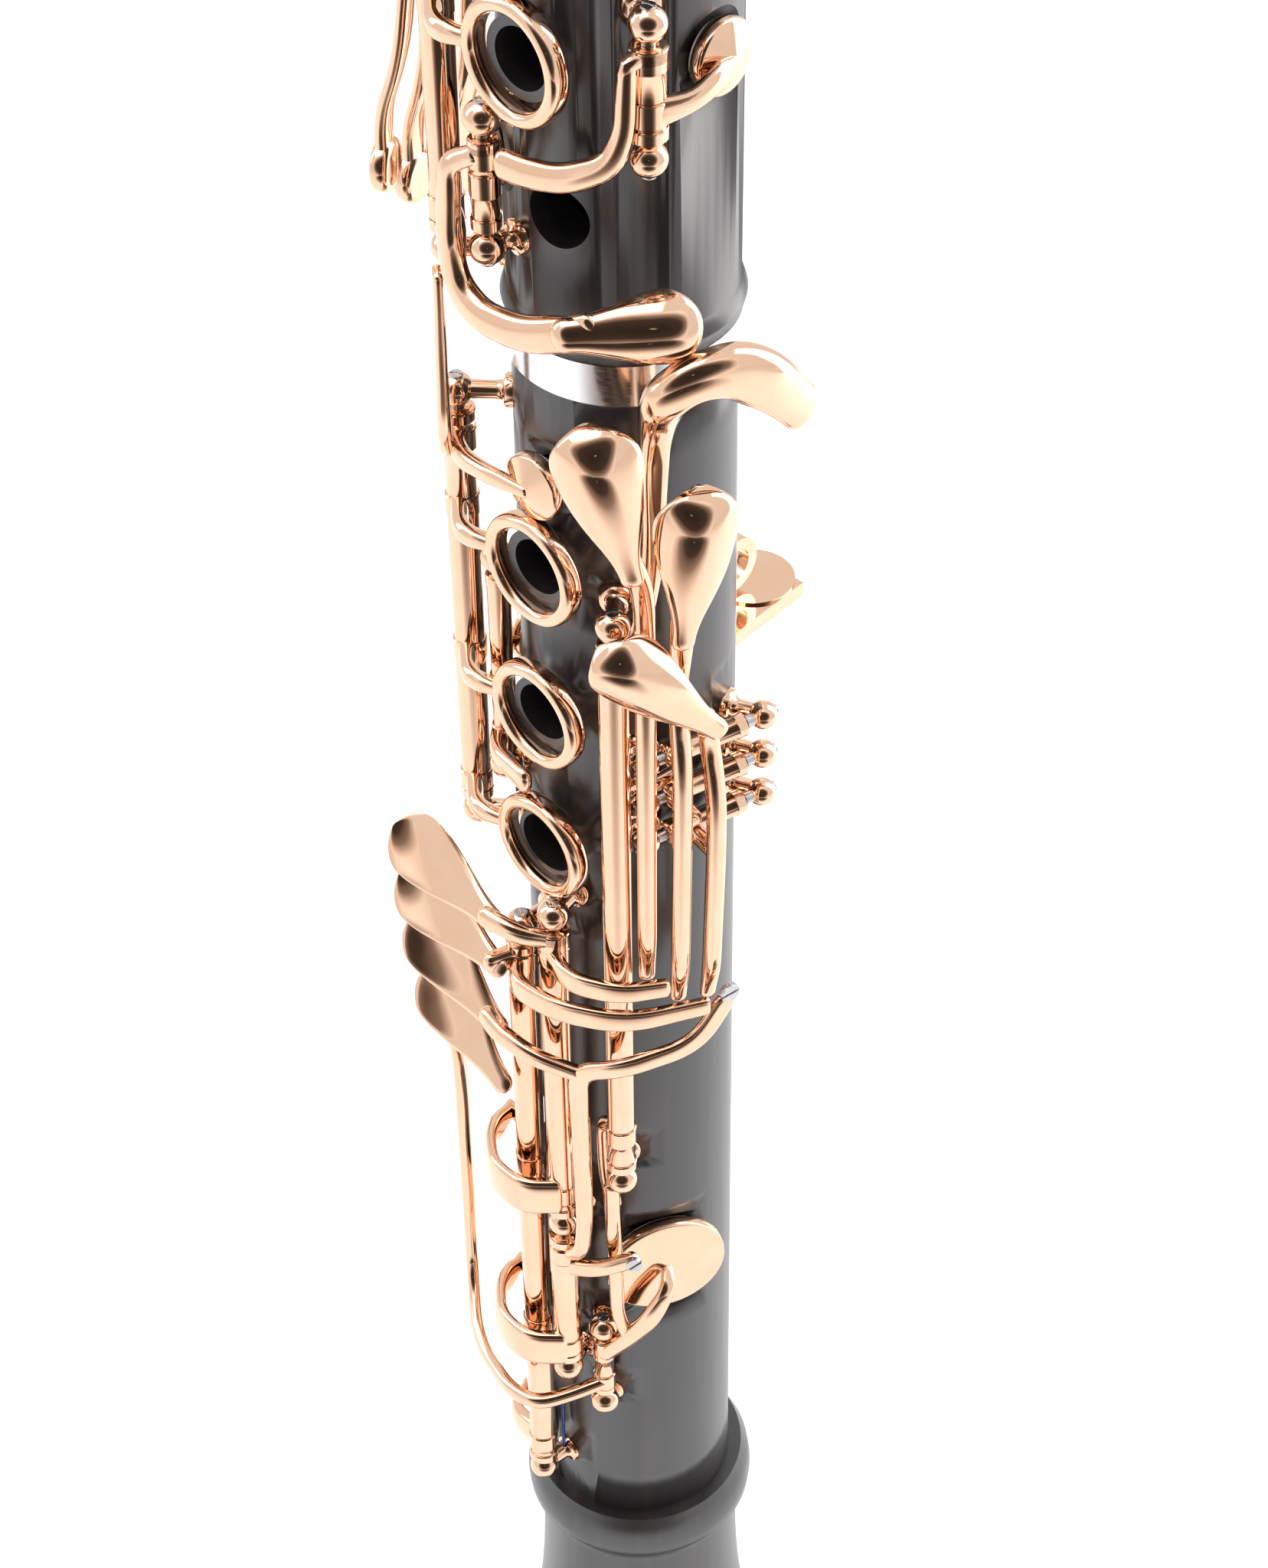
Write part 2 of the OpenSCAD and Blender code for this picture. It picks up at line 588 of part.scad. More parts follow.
module a_flat_key() color(ROSE_GOLD) difference() {
    union() {
        hinge_tube(H_A_FLAT);
        cup(S_A_FLAT);
        wire([polar(25, 17.6, 149), polar(38, 18.8, 155), polar(48, 20, 161), polar(58.7, 20.2, 168),
            cup_point(S_A_FLAT)], 1.2);
        wire([polar(24, 17.9, 141.8), polar(12, 21.4, 140.6), polar(3, 25.6, 140), polar(-9, 26.2, 139.5),
            polar(-34, 26.6, 139), polar(-58, 27, 144), polar(-62, 27.4, 190), polar(-52, 27.6, 206),
            polar(-34, 26.6, 211)], 1.2);
        wire([polar(38, 18.6, 155), polar(33, 18.6, 160), polar(31, 18.8, 190)]);
        little_finger_touch(209, -27);
    }
    hinge_bore(H_A_FLAT);
    pad_room(S_A_FLAT);
}

module a_flat_pad() color("white") pad(S_A_FLAT);

// ---- left little finger levers: see-saws on pivots across the bore ----

module lever(p, az, rho, tail_z, neck_z, tip_az, tip_rho, tip_z, tilt, wide = 5.2) {
    lift = polar(az, rho, p[2]);
    foot_x = max(rho * sin(az - p[0]), p[3] + pivot_ball_r + 2);
    foot_y = rho * cos(az - p[0]) - 0.6;
    difference() {
        union() {
            pivot_tube(p);
            bar(across(p, foot_x, p[1], 0), across(p, foot_x, foot_y, 0), 0.8);
            wire([across(p, foot_x, foot_y, 0), lift], 0.8);
            wire([polar(az, rho - 2, tail_z - 6), polar(az, rho - 1, tail_z), lift, polar(az, rho, p[2] + 11),
                polar(az, 21, neck_z), polar(tip_az, tip_rho, tip_z)], 1.1);
            at(tip_az, tip_rho, tip_z - 2) rotate([0, tilt, 0]) rotate([0, -90, 0]) rotate([90, 0, 0]) {
                translate([0, 0, -0.7]) linear_extrude(1.4) polygon(drop(22, wide, 1.6));
            }
        }
        pivot_bore(p);
    }
}

module lever_f_sharp() color(ROSE_GOLD) lever(P_F_SHARP, 47.5, 22.5, 243, 306, 42, 24.6, 314, -14);
module lever_e_b() color(ROSE_GOLD) lever(P_E_B, 59, 23.6, 239, 288, 58.4, 24.6, 303, 7, 4.2);
module lever_f_c() color(ROSE_GOLD) lever(P_F_C, 71, 23.6, 238, 281, 63, 26.4, 288, -42);

module hook_lever() color(ROSE_GOLD) difference() {
    union() {
        hinge_tube(H_HOOK);
        wire([polar(37, 19.8, 293.6), polar(47, 17.2, 296), polar(53, 16.9, 308), polar(53, 17.2, 322), polar(53, 20, 331),
            polar(54, 23, 337), polar(62, 24, 339.6), polar(74, 24.4, 339.6), polar(86, 25, 336),
            polar(97, 26, 330)], 1.2);
        wire([polar(34, 19.6, 204), polar(27, 17.3, 203), polar(27, 16.8, 192), polar(30.5, 16.4, 184)]);
    }
    hinge_bore(H_HOOK);
}

// ---- upper joint keys ----

module upper_ring_key() color(ROSE_GOLD) swing(H_UPPER_RING, -ring_open) difference() {
    union() {
        hinge_tube(H_UPPER_RING);
        for (hole = RING_HOLES_UPPER) {
            finger_ring(hole);
            ring_arm(H_UPPER_RING, hole);
        }
        cup(S_UPPER_VENT);
        wire([cup_point(S_UPPER_VENT), polar(-24, 19.4, 389.2), polar(-40, 21, 389.2), polar(-52, 21.7, 389.2)]);
        wire([polar(-52, 20.8, 349), polar(-44, 19.6, 348), polar(-37, 19.8, 341)]);
    }
    hinge_bore(H_UPPER_RING);
    pad_room(S_UPPER_VENT);
}

module upper_ring_pad() color("white") swing(H_UPPER_RING, -ring_open) pad(S_UPPER_VENT);

module c_sharp_key() color(ROSE_GOLD) difference() {
    union() {
        hinge_tube(H_C_SHARP);
        cup(S_C_SHARP);
        wire([cup_point(S_C_SHARP), polar(-17.5, 19.2, 359)]);
        wire([polar(-18, 20, 363), polar(-26, 22, 361), polar(-27, 22.4, 350.6), polar(-23, 22, 345.4),
            polar(-12, 21.4, 343.4), polar(6, 20.8, 343.6), polar(24, 21.2, 346.8), polar(34, 21.6, 348.6)], 1.4);
        at(34, 21.4, 348.4) rotate([0, -2, 0]) rotate([90, 0, 16]) translate([-3, 0, -0.7]) linear_extrude(1.4) {
            polygon(drop(19, 3.9, 1.4));
        }
    }
    hinge_bore(H_C_SHARP);
    pad_room(S_C_SHARP);
}

module c_sharp_pad() color("white") pad(S_C_SHARP);

module e_flat_key() color(ROSE_GOLD) difference() {
    union() {
        hinge_tube(H_E_FLAT);
        cup(S_E_FLAT);
        wire([polar(51.4, 19.8, 374), polar(66, 19.4, 374.6), polar(76, 18.6, 375.6), cup_point(S_E_FLAT)]);
        wire([polar(50, 19.4, 381), polar(44, 20.6, 381.4), polar(43, 20.4, 372), polar(38, 20, 367.4),
            polar(22, 19.4, 364.6), polar(6, 19.2, 364), polar(-3, 19.4, 364)], 1.3);
    }
    hinge_bore(H_E_FLAT);
    pad_room(S_E_FLAT);
}

module e_flat_pad() color("white") pad(S_E_FLAT);

module thumb_ring_key() color(ROSE_GOLD) swing(H_THUMB, -ring_open) difference() {
    union() {
        hinge_tube(H_THUMB);
        finger_ring(THUMB_HOLE);
        wire([polar(180, ring_rho + 0.8, THUMB_HOLE[1]) + [ring_r - 0.8, 0, 0], polar(144, 20.6, 413),
            polar(128, 20.7, 413)]);
        cup(S_THUMB_VENT);
        wire([cup_point(S_THUMB_VENT), polar(152, 20, 427), polar(128, 20.7, 427)]);
    }
    hinge_bore(H_THUMB);
    pad_room(S_THUMB_VENT);
}

module thumb_ring_pad() color("white") swing(H_THUMB, -ring_open) pad(S_THUMB_VENT);

// Side key: the touch hangs beside the middle join, the pad sits high on the right side
module side_key(p, s, touch_az, touch_rho, touch_z) {
    difference() {
        union() {
            pivot_tube(p);
            cup(s);
            bar(across(p, 0, p[1], 0), across(p, 0, 22.4, 0), 0.95);
            wire([cup_point(s), polar(s[0], 20.4, s[1]), polar(p[0], 22.4, p[2] + 8),
                polar(p[0], 22.6, p[2]), polar(p[0], 23.4, p[2] - 22), polar(touch_az, touch_rho - 3, touch_z + 16),
                polar(touch_az, touch_rho, touch_z + 7)], 1.2);
            radial(touch_az, touch_z) translate([0, 0, touch_rho - 0.9]) cylinder(r = 3.2, h = 1.8);
            bar(polar(touch_az, touch_rho, touch_z + 7), polar(touch_az, touch_rho, touch_z), 1.2);
        }
        pivot_bore(p);
        pad_room(s);
    }
}

module side_key_1() color(ROSE_GOLD) side_key(P_SIDE_1, S_SIDE_1, -65, 30.5, 350);
module side_key_2() color(ROSE_GOLD) side_key(P_SIDE_2, S_SIDE_2, -79, 30.5, 344);
module side_key_3() color(ROSE_GOLD) side_key(P_SIDE_3, S_SIDE_3, -93, 29, 342);
module side_key_4() color(ROSE_GOLD) side_key(P_SIDE_4, S_SIDE_4, -108, 28, 336.5);
module side_pad_1() color("white") pad(S_SIDE_1);
module side_pad_2() color("white") pad(S_SIDE_2);
module side_pad_3() color("white") pad(S_SIDE_3);
module side_pad_4() color("white") pad(S_SIDE_4);

// Throat and register keys: see-saws along the bore, touch below the pivot and pad above it
module throat_key(p, s, touch_rho, touch_drop, touch_r) {
    difference() {
        union() {
            pivot_tube(p);
            cup(s);
            bar(across(p, 0, p[1], 0), across(p, 0, 20.6, 0), 1.05);
            wire([cup_point(s), polar(s[0], 20.6, s[1]), polar(p[0], 20.8, p[2]),
                polar(p[0], touch_rho, p[2] - touch_drop)], 1.3);
            radial(p[0], p[2] - touch_drop) translate([0, 0, touch_rho - 0.9]) cylinder(r = touch_r, h = 1.8);
        }
        pivot_bore(p);
        pad_room(s);
    }
}

module throat_a_key() color(ROSE_GOLD) throat_key(P_THROAT_A, S_THROAT_A, 21.4, 26, 4.2);
module throat_a_pad() color("white") pad(S_THROAT_A);
module throat_g_sharp_key() color(ROSE_GOLD) throat_key(P_THROAT_G, S_THROAT_G, 21.4, 26, 3.8);
module throat_g_sharp_pad() color("white") pad(S_THROAT_G);
module register_key() color(ROSE_GOLD) throat_key(P_REGISTER, S_REGISTER, 21.5, 33, 3.8);
module register_pad() color("white") pad(S_REGISTER);

bell();
lower_joint();
socket_ring();
upper_joint();
barrel();
barrel_rings();
mouthpiece();
reed();
ligature();
ligature_screws();
tenon_corks();
thumb_rest();
thumb_rest_screws();
vent_tubes();
lower_posts();
upper_posts();
lower_rods();
upper_rods();
lower_springs();
upper_springs();
lower_ring_key();
lower_ring_pad();
sliver_key();
sliver_pad();
e_b_key();
e_b_pad();
f_c_key();
f_c_pad();
f_sharp_key();
f_sharp_pad();
a_flat_key();
a_flat_pad();
lever_e_b();
lever_f_c();
lever_f_sharp();
hook_lever();
upper_ring_key();
upper_ring_pad();
c_sharp_key();
c_sharp_pad();
e_flat_key();
e_flat_pad();
thumb_ring_key();
thumb_ring_pad();
side_key_1();
side_pad_1();
side_key_2();
side_pad_2();
side_key_3();
side_pad_3();
side_key_4();
side_pad_4();
throat_a_key();
throat_a_pad();
throat_g_sharp_key();
throat_g_sharp_pad();
register_key();
register_pad();
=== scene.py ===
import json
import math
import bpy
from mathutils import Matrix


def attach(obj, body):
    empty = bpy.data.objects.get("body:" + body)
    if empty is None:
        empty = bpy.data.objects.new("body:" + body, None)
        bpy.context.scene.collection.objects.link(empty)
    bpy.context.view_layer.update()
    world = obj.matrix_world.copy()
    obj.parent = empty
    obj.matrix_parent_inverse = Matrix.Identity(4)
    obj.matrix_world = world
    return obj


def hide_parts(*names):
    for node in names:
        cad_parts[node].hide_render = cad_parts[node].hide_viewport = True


bl_info = {
    "name": "Soprano clarinet",
    "version": (1, 0, 0),
    "blender": (4, 5, 0),
    "location": "View3D > Sidebar > Clarinet",
    "description": "Finishes and finely shaped keywork for a B flat soprano clarinet",
    "category": "Object",
}

import bmesh
import bpy
import numpy as np
from mathutils import Matrix, Vector

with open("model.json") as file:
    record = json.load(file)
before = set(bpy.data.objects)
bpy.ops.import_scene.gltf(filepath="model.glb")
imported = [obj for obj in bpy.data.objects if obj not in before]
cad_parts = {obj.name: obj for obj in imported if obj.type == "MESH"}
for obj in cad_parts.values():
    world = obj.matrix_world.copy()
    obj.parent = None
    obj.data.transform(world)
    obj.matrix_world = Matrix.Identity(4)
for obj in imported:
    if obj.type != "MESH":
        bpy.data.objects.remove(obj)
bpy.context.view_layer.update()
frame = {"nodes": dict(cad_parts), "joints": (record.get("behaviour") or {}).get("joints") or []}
MM = 0.001
PINS = {j["name"]: j["pos_m"] for j in frame["joints"]}
OUT_OF_BORE = "out"
LEVEL = "level"


# ---- directions and places, in millimetres ----


def polar(azimuth, rho, z):
    """Point at a distance rho from the bore's axis and height z; azimuth 0 is the front, 90 the player's left."""
    a = math.radians(azimuth)
    return np.array([rho * math.sin(a), -rho * math.cos(a), z])


def outward(azimuth):
    """Unit vector that points away from the bore at an azimuth."""
    return polar(azimuth, 1.0, 0.0)


def tangent(azimuth):
    """Unit vector round the bore at an azimuth, towards greater azimuth."""
    a = math.radians(azimuth)
    return np.array([math.cos(a), math.sin(a), 0.0])


def unit(v):
    """Vectors divided by their lengths."""
    v = np.asarray(v, float)
    return v / np.linalg.norm(v, axis=-1, keepdims=True)


def pin(joint):
    """Azimuth, distance from the bore's axis and height of a joint's pin."""
    x, y, z = (c / MM for c in PINS[joint])
    return math.degrees(math.atan2(x, -y)), math.hypot(x, y), z


class Hinge:
    """A hinge tube parallel to the bore between two posts."""

    def __init__(self, joint, low, high, radius):
        self.az, self.rho, _ = pin(joint)
        self.low, self.high, self.radius = low, high, radius

    def at(self, z, more=0.0, turn=0.0):
        """Point at height z, a little further out or round than the pin."""
        return polar(self.az + turn, self.rho + more, z)


class Pivot:
    """A short pivot tube across the bore between two posts; left and right are the balls' places along it."""

    def __init__(self, joint, left, right):
        self.az, self.rho, self.z = pin(joint)
        self.left, self.right = left, right

    def at(self, along, more=0.0, dz=0.0):
        """Point at a distance along the pin, further out by more and higher by dz."""
        return polar(self.az, self.rho + more, self.z + dz) + tangent(self.az) * along


class Seat:
    """A tone-hole seat with the pad cup that closes it."""

    def __init__(self, azimuth, z, radius, rho):
        self.az, self.z, self.r, self.rho = azimuth, z, radius, rho

    def top(self, dz=0.0, more=0.0):
        """Point on the crown of the closed cup."""
        return polar(self.az, self.rho + CROWN + more, self.z + dz)


CROWN = 3.3
TUBE = 2.1
RING = Hinge("lower_ring_hinge", 251.5, 318.7, TUBE)
SLIVER = Hinge("sliver_hinge", 264, 295, 1.5)
E_B = Hinge("e_b_hinge", 117.2, 236.8, TUBE)
F_SHARP = Hinge("f_sharp_hinge", 183.1, 242.6, TUBE)
F_C = Hinge("f_c_hinge", 148.5, 177.9, TUBE)
A_FLAT = Hinge("a_flat_hinge", 139, 152, 1.5)
HOOK = Hinge("hook_lever_hinge", 196.6, 297, 2.0)
UPPER_RING = Hinge("upper_ring_hinge", 345.4, 406, TUBE)
C_SHARP = Hinge("c_sharp_hinge", 352.6, 365.2, 1.7)
E_FLAT = Hinge("e_flat_hinge", 370.2, 382.4, TUBE)
THUMB = Hinge("thumb_ring_hinge", 402, 440, 1.8)
LOWER_HINGES = [RING, SLIVER, E_B, F_SHARP, F_C, A_FLAT, HOOK]
UPPER_HINGES = [UPPER_RING, C_SHARP, E_FLAT, THUMB]

P_F_SHARP = Pivot("lever_f_sharp_pivot", -7.8, 11)
P_E_B = Pivot("lever_e_b_pivot", -7.8, 11)
P_F_C = Pivot("lever_f_c_pivot", -7.8, 11)
P_SIDE = [Pivot(f"side_{i}_pivot", -5.4, 5.4) for i in (1, 2, 3, 4)]
P_THROAT_A = Pivot("throat_a_pivot", -5.4, 5.4)
P_THROAT_G = Pivot("throat_g_sharp_pivot", -5.4, 5.4)
P_REGISTER = Pivot("register_pivot", -5.4, 5.4)
LOWER_PIVOTS = [P_F_SHARP, P_E_B, P_F_C]
UPPER_PIVOTS = [*P_SIDE, P_THROAT_A, P_THROAT_G, P_REGISTER]

S_VENT = Seat(0, 316.2, 4.6, 13.6)
S_SLIVER = Seat(-80, 276, 4.6, 13.6)
S_F_SHARP = Seat(-50, 188, 9, 13.4)
S_F_C = Seat(-52, 151, 9.6, 13.4)
S_E_B = Seat(-52, 118.5, 9.6, 13.4)
S_A_FLAT = Seat(58.7, 168, 9.4, 13.4)
S_C_SHARP = Seat(-37, 359, 4, 13.6)
S_E_FLAT = Seat(90, 376, 4.8, 13.6)
S_UPPER_VENT = Seat(-6, 389.2, 3.4, 13.9)
S_THUMB = Seat(176, 427, 4.4, 13.6)
S_SIDE = [Seat(-60, 462, 5, 13.6), Seat(-84, 450, 5, 13.6), Seat(-104, 440, 5, 13.6), Seat(-126, 425, 5, 13.6)]
S_THROAT_A = Seat(8, 500, 4.6, 13.6)
S_THROAT_G = Seat(44, 486, 4.6, 13.6)
S_REGISTER = Seat(180, 505, 3.8, 15.2)

# Keys that stand open at rest: the hinge that each turns on, and its angle from closed
OPEN = {
    "lower_ring": (RING, -4.5),
    "e_b": (E_B, 6.6),
    "f_c": (F_C, 4.5),
    "f_sharp": (F_SHARP, 6.0),
    "upper_ring": (UPPER_RING, -4.5),
    "thumb_ring": (THUMB, -4.5),
}
LOWER_HOLES = [303.4, 278.8, 255.0]
UPPER_HOLES = [377.2, 401.4]
THUMB_HOLE = 413.0


# ---- surfaces ----


def shell(grid, rows_close=False):
    """Quads between neighbouring rows and columns of a grid of points; columns close round, rows only if asked."""
    m, n = grid.shape[:2]
    i, j = np.meshgrid(np.arange(m if rows_close else m - 1), np.arange(n), indexing="ij")
    k, l = (i + 1) % m, (j + 1) % n
    quads = np.stack([i * n + j, i * n + l, k * n + l, k * n + j], axis=-1).reshape(-1, 4)
    return grid.reshape(-1, 3), quads


def eased(x, knots, values):
    """Values at knots joined by ease-in, ease-out steps: v0 + (v1 - v0)(3q² - 2q³)."""
    knots, values = np.asarray(knots, float), np.asarray(values, float)
    i = np.clip(np.searchsorted(knots, x, side="right") - 1, 0, len(knots) - 2)
    q = np.clip((x - knots[i]) / (knots[i + 1] - knots[i]), 0, 1)
    return values[i] + (values[i + 1] - values[i]) * (3 * q**2 - 2 * q**3)


def superellipse(n, power):
    """Closed outline |x|^p + |y|^p = 1 at n even turns."""
    v = np.arange(n) / n * 2 * math.pi
    c, s = np.cos(v), np.sin(v)
    return np.sign(c) * np.abs(c) ** (2 / power), np.sign(s) * np.abs(s) ** (2 / power)


def turned(profile, origin, axis, sides=40, loop=False):
    """Rows (radius, height) turned about an axis: origin + height·axis + radius·(cos t·u + sin t·v)."""
    axis = unit(axis)
    u = unit(np.cross(axis, [0, 0, 1] if abs(axis[2]) < 0.9 else [1, 0, 0]))
    v = np.cross(axis, u)
    rows = np.asarray(profile, float)
    t = np.arange(sides) / sides * 2 * math.pi
    spoke = np.cos(t)[:, None] * u + np.sin(t)[:, None] * v
    grid = np.asarray(origin, float) + rows[:, 1, None, None] * axis + rows[:, 0, None, None] * spoke[None]
    return shell(grid, loop)


def rounded(points, bend):
    """Path whose corners become curves (1-t)²A + 2t(1-t)P + t²B, with A and B up to bend before and after P."""
    p = np.array(points, float)
    step = np.diff(p, axis=0)
    length = np.linalg.norm(step, axis=1)
    way = step / length[:, None]
    reach = np.minimum(bend, 0.48 * np.minimum(length[:-1], length[1:]))[:, None]
    a, b = p[1:-1] - way[:-1] * reach, p[1:-1] + way[1:] * reach
    t = np.linspace(0, 1, 9)[None, :, None]
    curves = (1 - t) ** 2 * a[:, None] + 2 * t * (1 - t) * p[1:-1, None] + t**2 * b[:, None]
    return np.vstack([p[:1], curves.reshape(-1, 3), p[-1:]])


def bar(points, size, bend=5.0, power=2.0, facing=OUT_OF_BORE, sides=18, pitch=0.8):
    """Bar along a path with rounded corners and rounded ends.

    The section is a superellipse: half width w along the body and half thickness t out of it. size rows are
    (share of the length, w, t), joined by eased steps. facing says whether the width lies round the bore or upright.
    """
    path = rounded(points, bend) if len(points) > 2 else np.array(points, float)
    s = np.r_[0, np.cumsum(np.linalg.norm(np.diff(path, axis=0), axis=1))]
    even = np.linspace(0, s[-1], max(10, int(s[-1] / pitch)))
    path = np.stack([np.interp(even, s, path[:, k]) for k in range(3)], axis=1)
    along = unit(np.gradient(path, axis=0))
    size = np.array(size, float).reshape(-1, 3)
    if len(size) == 1:
        size = np.vstack([size, size + [1, 0, 0]])
    w, t = (eased(even / s[-1], size[:, 0], size[:, k]) for k in (1, 2))
    turn = np.linspace(90, 0, 7)[:-1] * math.pi / 180
    cap = np.sin(turn)[:, None]
    first = path[0] - along[0] * cap * min(w[0], t[0])
    last = path[-1] + along[-1] * cap[::-1] * min(w[-1], t[-1])
    fade = np.r_[np.cos(turn), np.ones(len(path)), np.cos(turn[::-1])]
    fade[[0, -1]] = 0
    k = len(turn)
    path = np.vstack([first, path, last])
    along = np.vstack([np.repeat(along[:1], k, 0), along, np.repeat(along[-1:], k, 0)])
    w = np.r_[np.full(k, w[0]), w, np.full(k, w[-1])] * fade
    t = np.r_[np.full(k, t[0]), t, np.full(k, t[-1])] * fade
    if facing == LEVEL:
        wide = unit(np.array([0, 0, 1.0]) - along * along[:, 2:3])
        thick = np.cross(along, wide)
    else:
        radial = unit(path * [1, 1, 0])
        thick = unit(radial - along * np.sum(radial * along, axis=1, keepdims=True))
        wide = np.cross(thick, along)
    x, y = superellipse(sides, power)
    grid = path[:, None] + (w[:, None] * x)[..., None] * wide[:, None] + (t[:, None] * y)[..., None] * thick[:, None]
    return shell(grid)


def touch(root, way, out, length, wide, narrow, thick, crown=0.6, droop=0.0, curl=0.0, sides=32):
    """Drop-shaped touch plate from its narrow root.

    Half width: narrow + (wide - narrow)(3q² - 2q³) up to the round end, then wide·cos f. The top is raised by
    crown·(1 - y²/wide²), or dished where crown is negative; the plate bends down by droop·(x/length)² and
    sideways by curl·(x/length)².
    """
    way = unit(way)
    out = unit(np.asarray(out, float) - way * np.dot(out, way))
    side = np.cross(out, way)
    q = np.linspace(0, 1, 30)
    f = np.linspace(0, math.pi / 2, 14)
    g = np.linspace(math.pi / 2, 0, 6)
    x = np.r_[-narrow * np.sin(g), q[1:] * (length - wide), length - wide + wide * np.sin(f[1:])]
    w = np.r_[narrow * np.cos(g), narrow + (wide - narrow) * (3 * q[1:] ** 2 - 2 * q[1:] ** 3), wide * np.cos(f[1:])]
    w[[0, -1]] = 0
    t = thick / 2 * np.r_[np.cos(g), 1 - 0.25 * q[1:], 0.75 * np.sqrt(np.cos(f[1:]))]
    t[[0, -1]] = 0
    c, s = superellipse(sides, 2.3)
    y = w[:, None] * c
    lift = crown * np.clip(w / wide, 0, 1)[:, None] * (1 - (y / wide) ** 2) * np.where(s > 0, 1.0, 0.75)
    z = t[:, None] * s + lift - droop * (x[:, None] / length) ** 2
    y = y + curl * (x[:, None] / length) ** 2
    grid = np.asarray(root, float) + x[:, None, None] * way + y[..., None] * side + z[..., None] * out
    return shell(grid)


def half_disc(origin, axis, radius, height, gap, turn, back):
    """One half of a slotted screw head: an arc of the head whose chord lies gap to one side of the slot."""
    axis = unit(axis)
    u = unit(np.cross(axis, [0.3, 0.2, 0.93]))
    v = np.cross(axis, u)
    u, v = math.cos(turn) * u + math.sin(turn) * v, math.cos(turn) * v - math.sin(turn) * u
    edge = math.asin(gap / radius)
    a = np.linspace(edge, math.pi - edge, 16)
    rim = radius * (np.cos(a)[:, None] * u + np.sin(a)[:, None] * v * (-1 if back else 1))
    middle = rim.mean(axis=0)
    rows = [(0, 0), (1, 0), (1, height * 0.75), (0.93, height), (0, height)]
    grid = np.stack([np.asarray(origin) + middle + (rim - middle) * k + axis * h for k, h in rows])
    return shell(grid)


def screw_head(origin, axis, radius=1.25, height=0.45, turn=0.6):
    """Slotted round screw head: a low disc with two half discs on it, and the slot left between them."""
    disc = turned([(0, -0.4), (radius, -0.4), (radius, 0.05), (0, 0.05)], origin, axis, 28)
    return [disc] + [half_disc(origin, axis, radius, height, 0.17, turn, back) for back in (False, True)]


def hinge_tube(low, high, radius, origin, axis, knuckles=()):
    """Tube on a pin, turned with a raised bead at each end and at each knuckle, and a fine line beside each bead."""
    marks = sorted([(low + 0.9, 0.9), (high - 0.9, 0.9), *((k, 1.6) for k in knuckles)])
    rows = [(0.95, low), (radius - 0.25, low), (radius + 0.05, low + 0.12)]
    for middle, half in marks:
        start, end = max(middle - half, low + 0.2), min(middle + half, high - 0.2)
        for h, more in ((start, 0.12), (start + 0.15, 0.24), (end - 0.15, 0.24), (end, 0.12), (end + 0.05, -0.12)):
            rows.append((radius + more, h))
        rows.append((radius, end + 0.2))
        if end + 0.6 < high - 2:
            rows.append((radius, end + 0.6))
    rows = [(r, min(max(h, low), high)) for r, h in rows if h < high - 0.1]
    rows += [(radius + 0.05, high - 0.12), (radius - 0.25, high), (0.95, high)]
    return turned(rows, origin, axis, 32, loop=True)


def tube_of(h, knuckles=()):
    """A hinge's tube, with knuckles at the heights where arms leave it."""
    return hinge_tube(h.low, h.high, h.radius, polar(h.az, h.rho, 0), [0, 0, 1], knuckles)


def pivot_tube(p):
    """A pivot's short tube across the bore."""
    inset = 3.1
    return hinge_tube(p.left + inset, p.right - inset, 1.5, p.at(0), tangent(p.az))


def finger_ring(azimuth, z, height):
    """Finger ring: a superellipse section, 2.1 wide and as tall as asked, turned about the tone hole."""
    x, y = superellipse(24, 2.7)
    rows = np.stack([7.05 + 1.05 * x, 16.35 + height / 2 * y], axis=1)
    return turned(rows, [0, 0, z], outward(azimuth), 64, loop=True)


def cup(s, dome=1.0, rim=0.35):
    """Pad cup turned about the tone hole: a thin wall, a rolled rim and a low cone h = h0 + dome(1 - (r/R)^1.1)."""
    base, r = s.rho + 0.1, s.r
    share = np.linspace(1, 0, 12)
    crown = np.stack([(r - rim) * share, base + 2.75 + 1.25 * dome * (1 - share**1.1)], axis=1)
    rows = [(0, base + 2.3), (r - 0.38, base + 2.3), (r - 0.38, base + 1.0), (r - 0.08, base + 1.0), (r, base + 1.12)]
    rows += [(r, base + 2.35), (r - 0.06, base + 2.55), (r - rim * 0.6, base + 2.7)]
    return turned(np.vstack([rows, crown]), [0, 0, s.z], outward(s.az), 56)


def pad_skin(s):
    """Soft pad: a felt disc under skin, its face flat inside a rounded edge that bulges past its back."""
    r, base = s.r - 0.45, s.rho + 0.1
    edge = np.linspace(-90, 80, 12) * math.pi / 180
    rows = [(0, 0.06), (r * 0.55, 0.05), (r * 0.62, 0.0), (r - 1.1, 0.0)]
    rows += [(r - 1.0 + 1.0 * math.cos(a), 1.0 + 1.0 * math.sin(a)) for a in edge]
    rows += [(r - 1.2, 2.15), (0, 2.18)]
    rows = np.array(rows) + [0, base]
    return turned(rows, [0, 0, s.z], outward(s.az), 48)


def post(azimuth, rho, z, ball):
    """Ball post: a foot flange, a flared neck and a ball, turned about the line that runs straight out."""
    neck = 1.25
    low = -math.acos(neck / ball)
    reach = rho + ball * math.sin(low)
    foot = [(0, 12.6), (1.38, 12.6), (1.38, 13.9), (2.38, 13.9), (2.38, 15.0), (2.2, 15.28), (1.7, 15.4), (1.38, 15.7),
            (neck, 16.3)]
    rows = [(r, min(h, reach - 0.02 * (9 - i))) for i, (r, h) in enumerate(foot)]
    rows += [(ball * math.cos(a), rho + ball * math.sin(a)) for a in np.linspace(low, math.pi / 2, 18)]
    return turned(rows, [0, 0, z], outward(azimuth), 36)


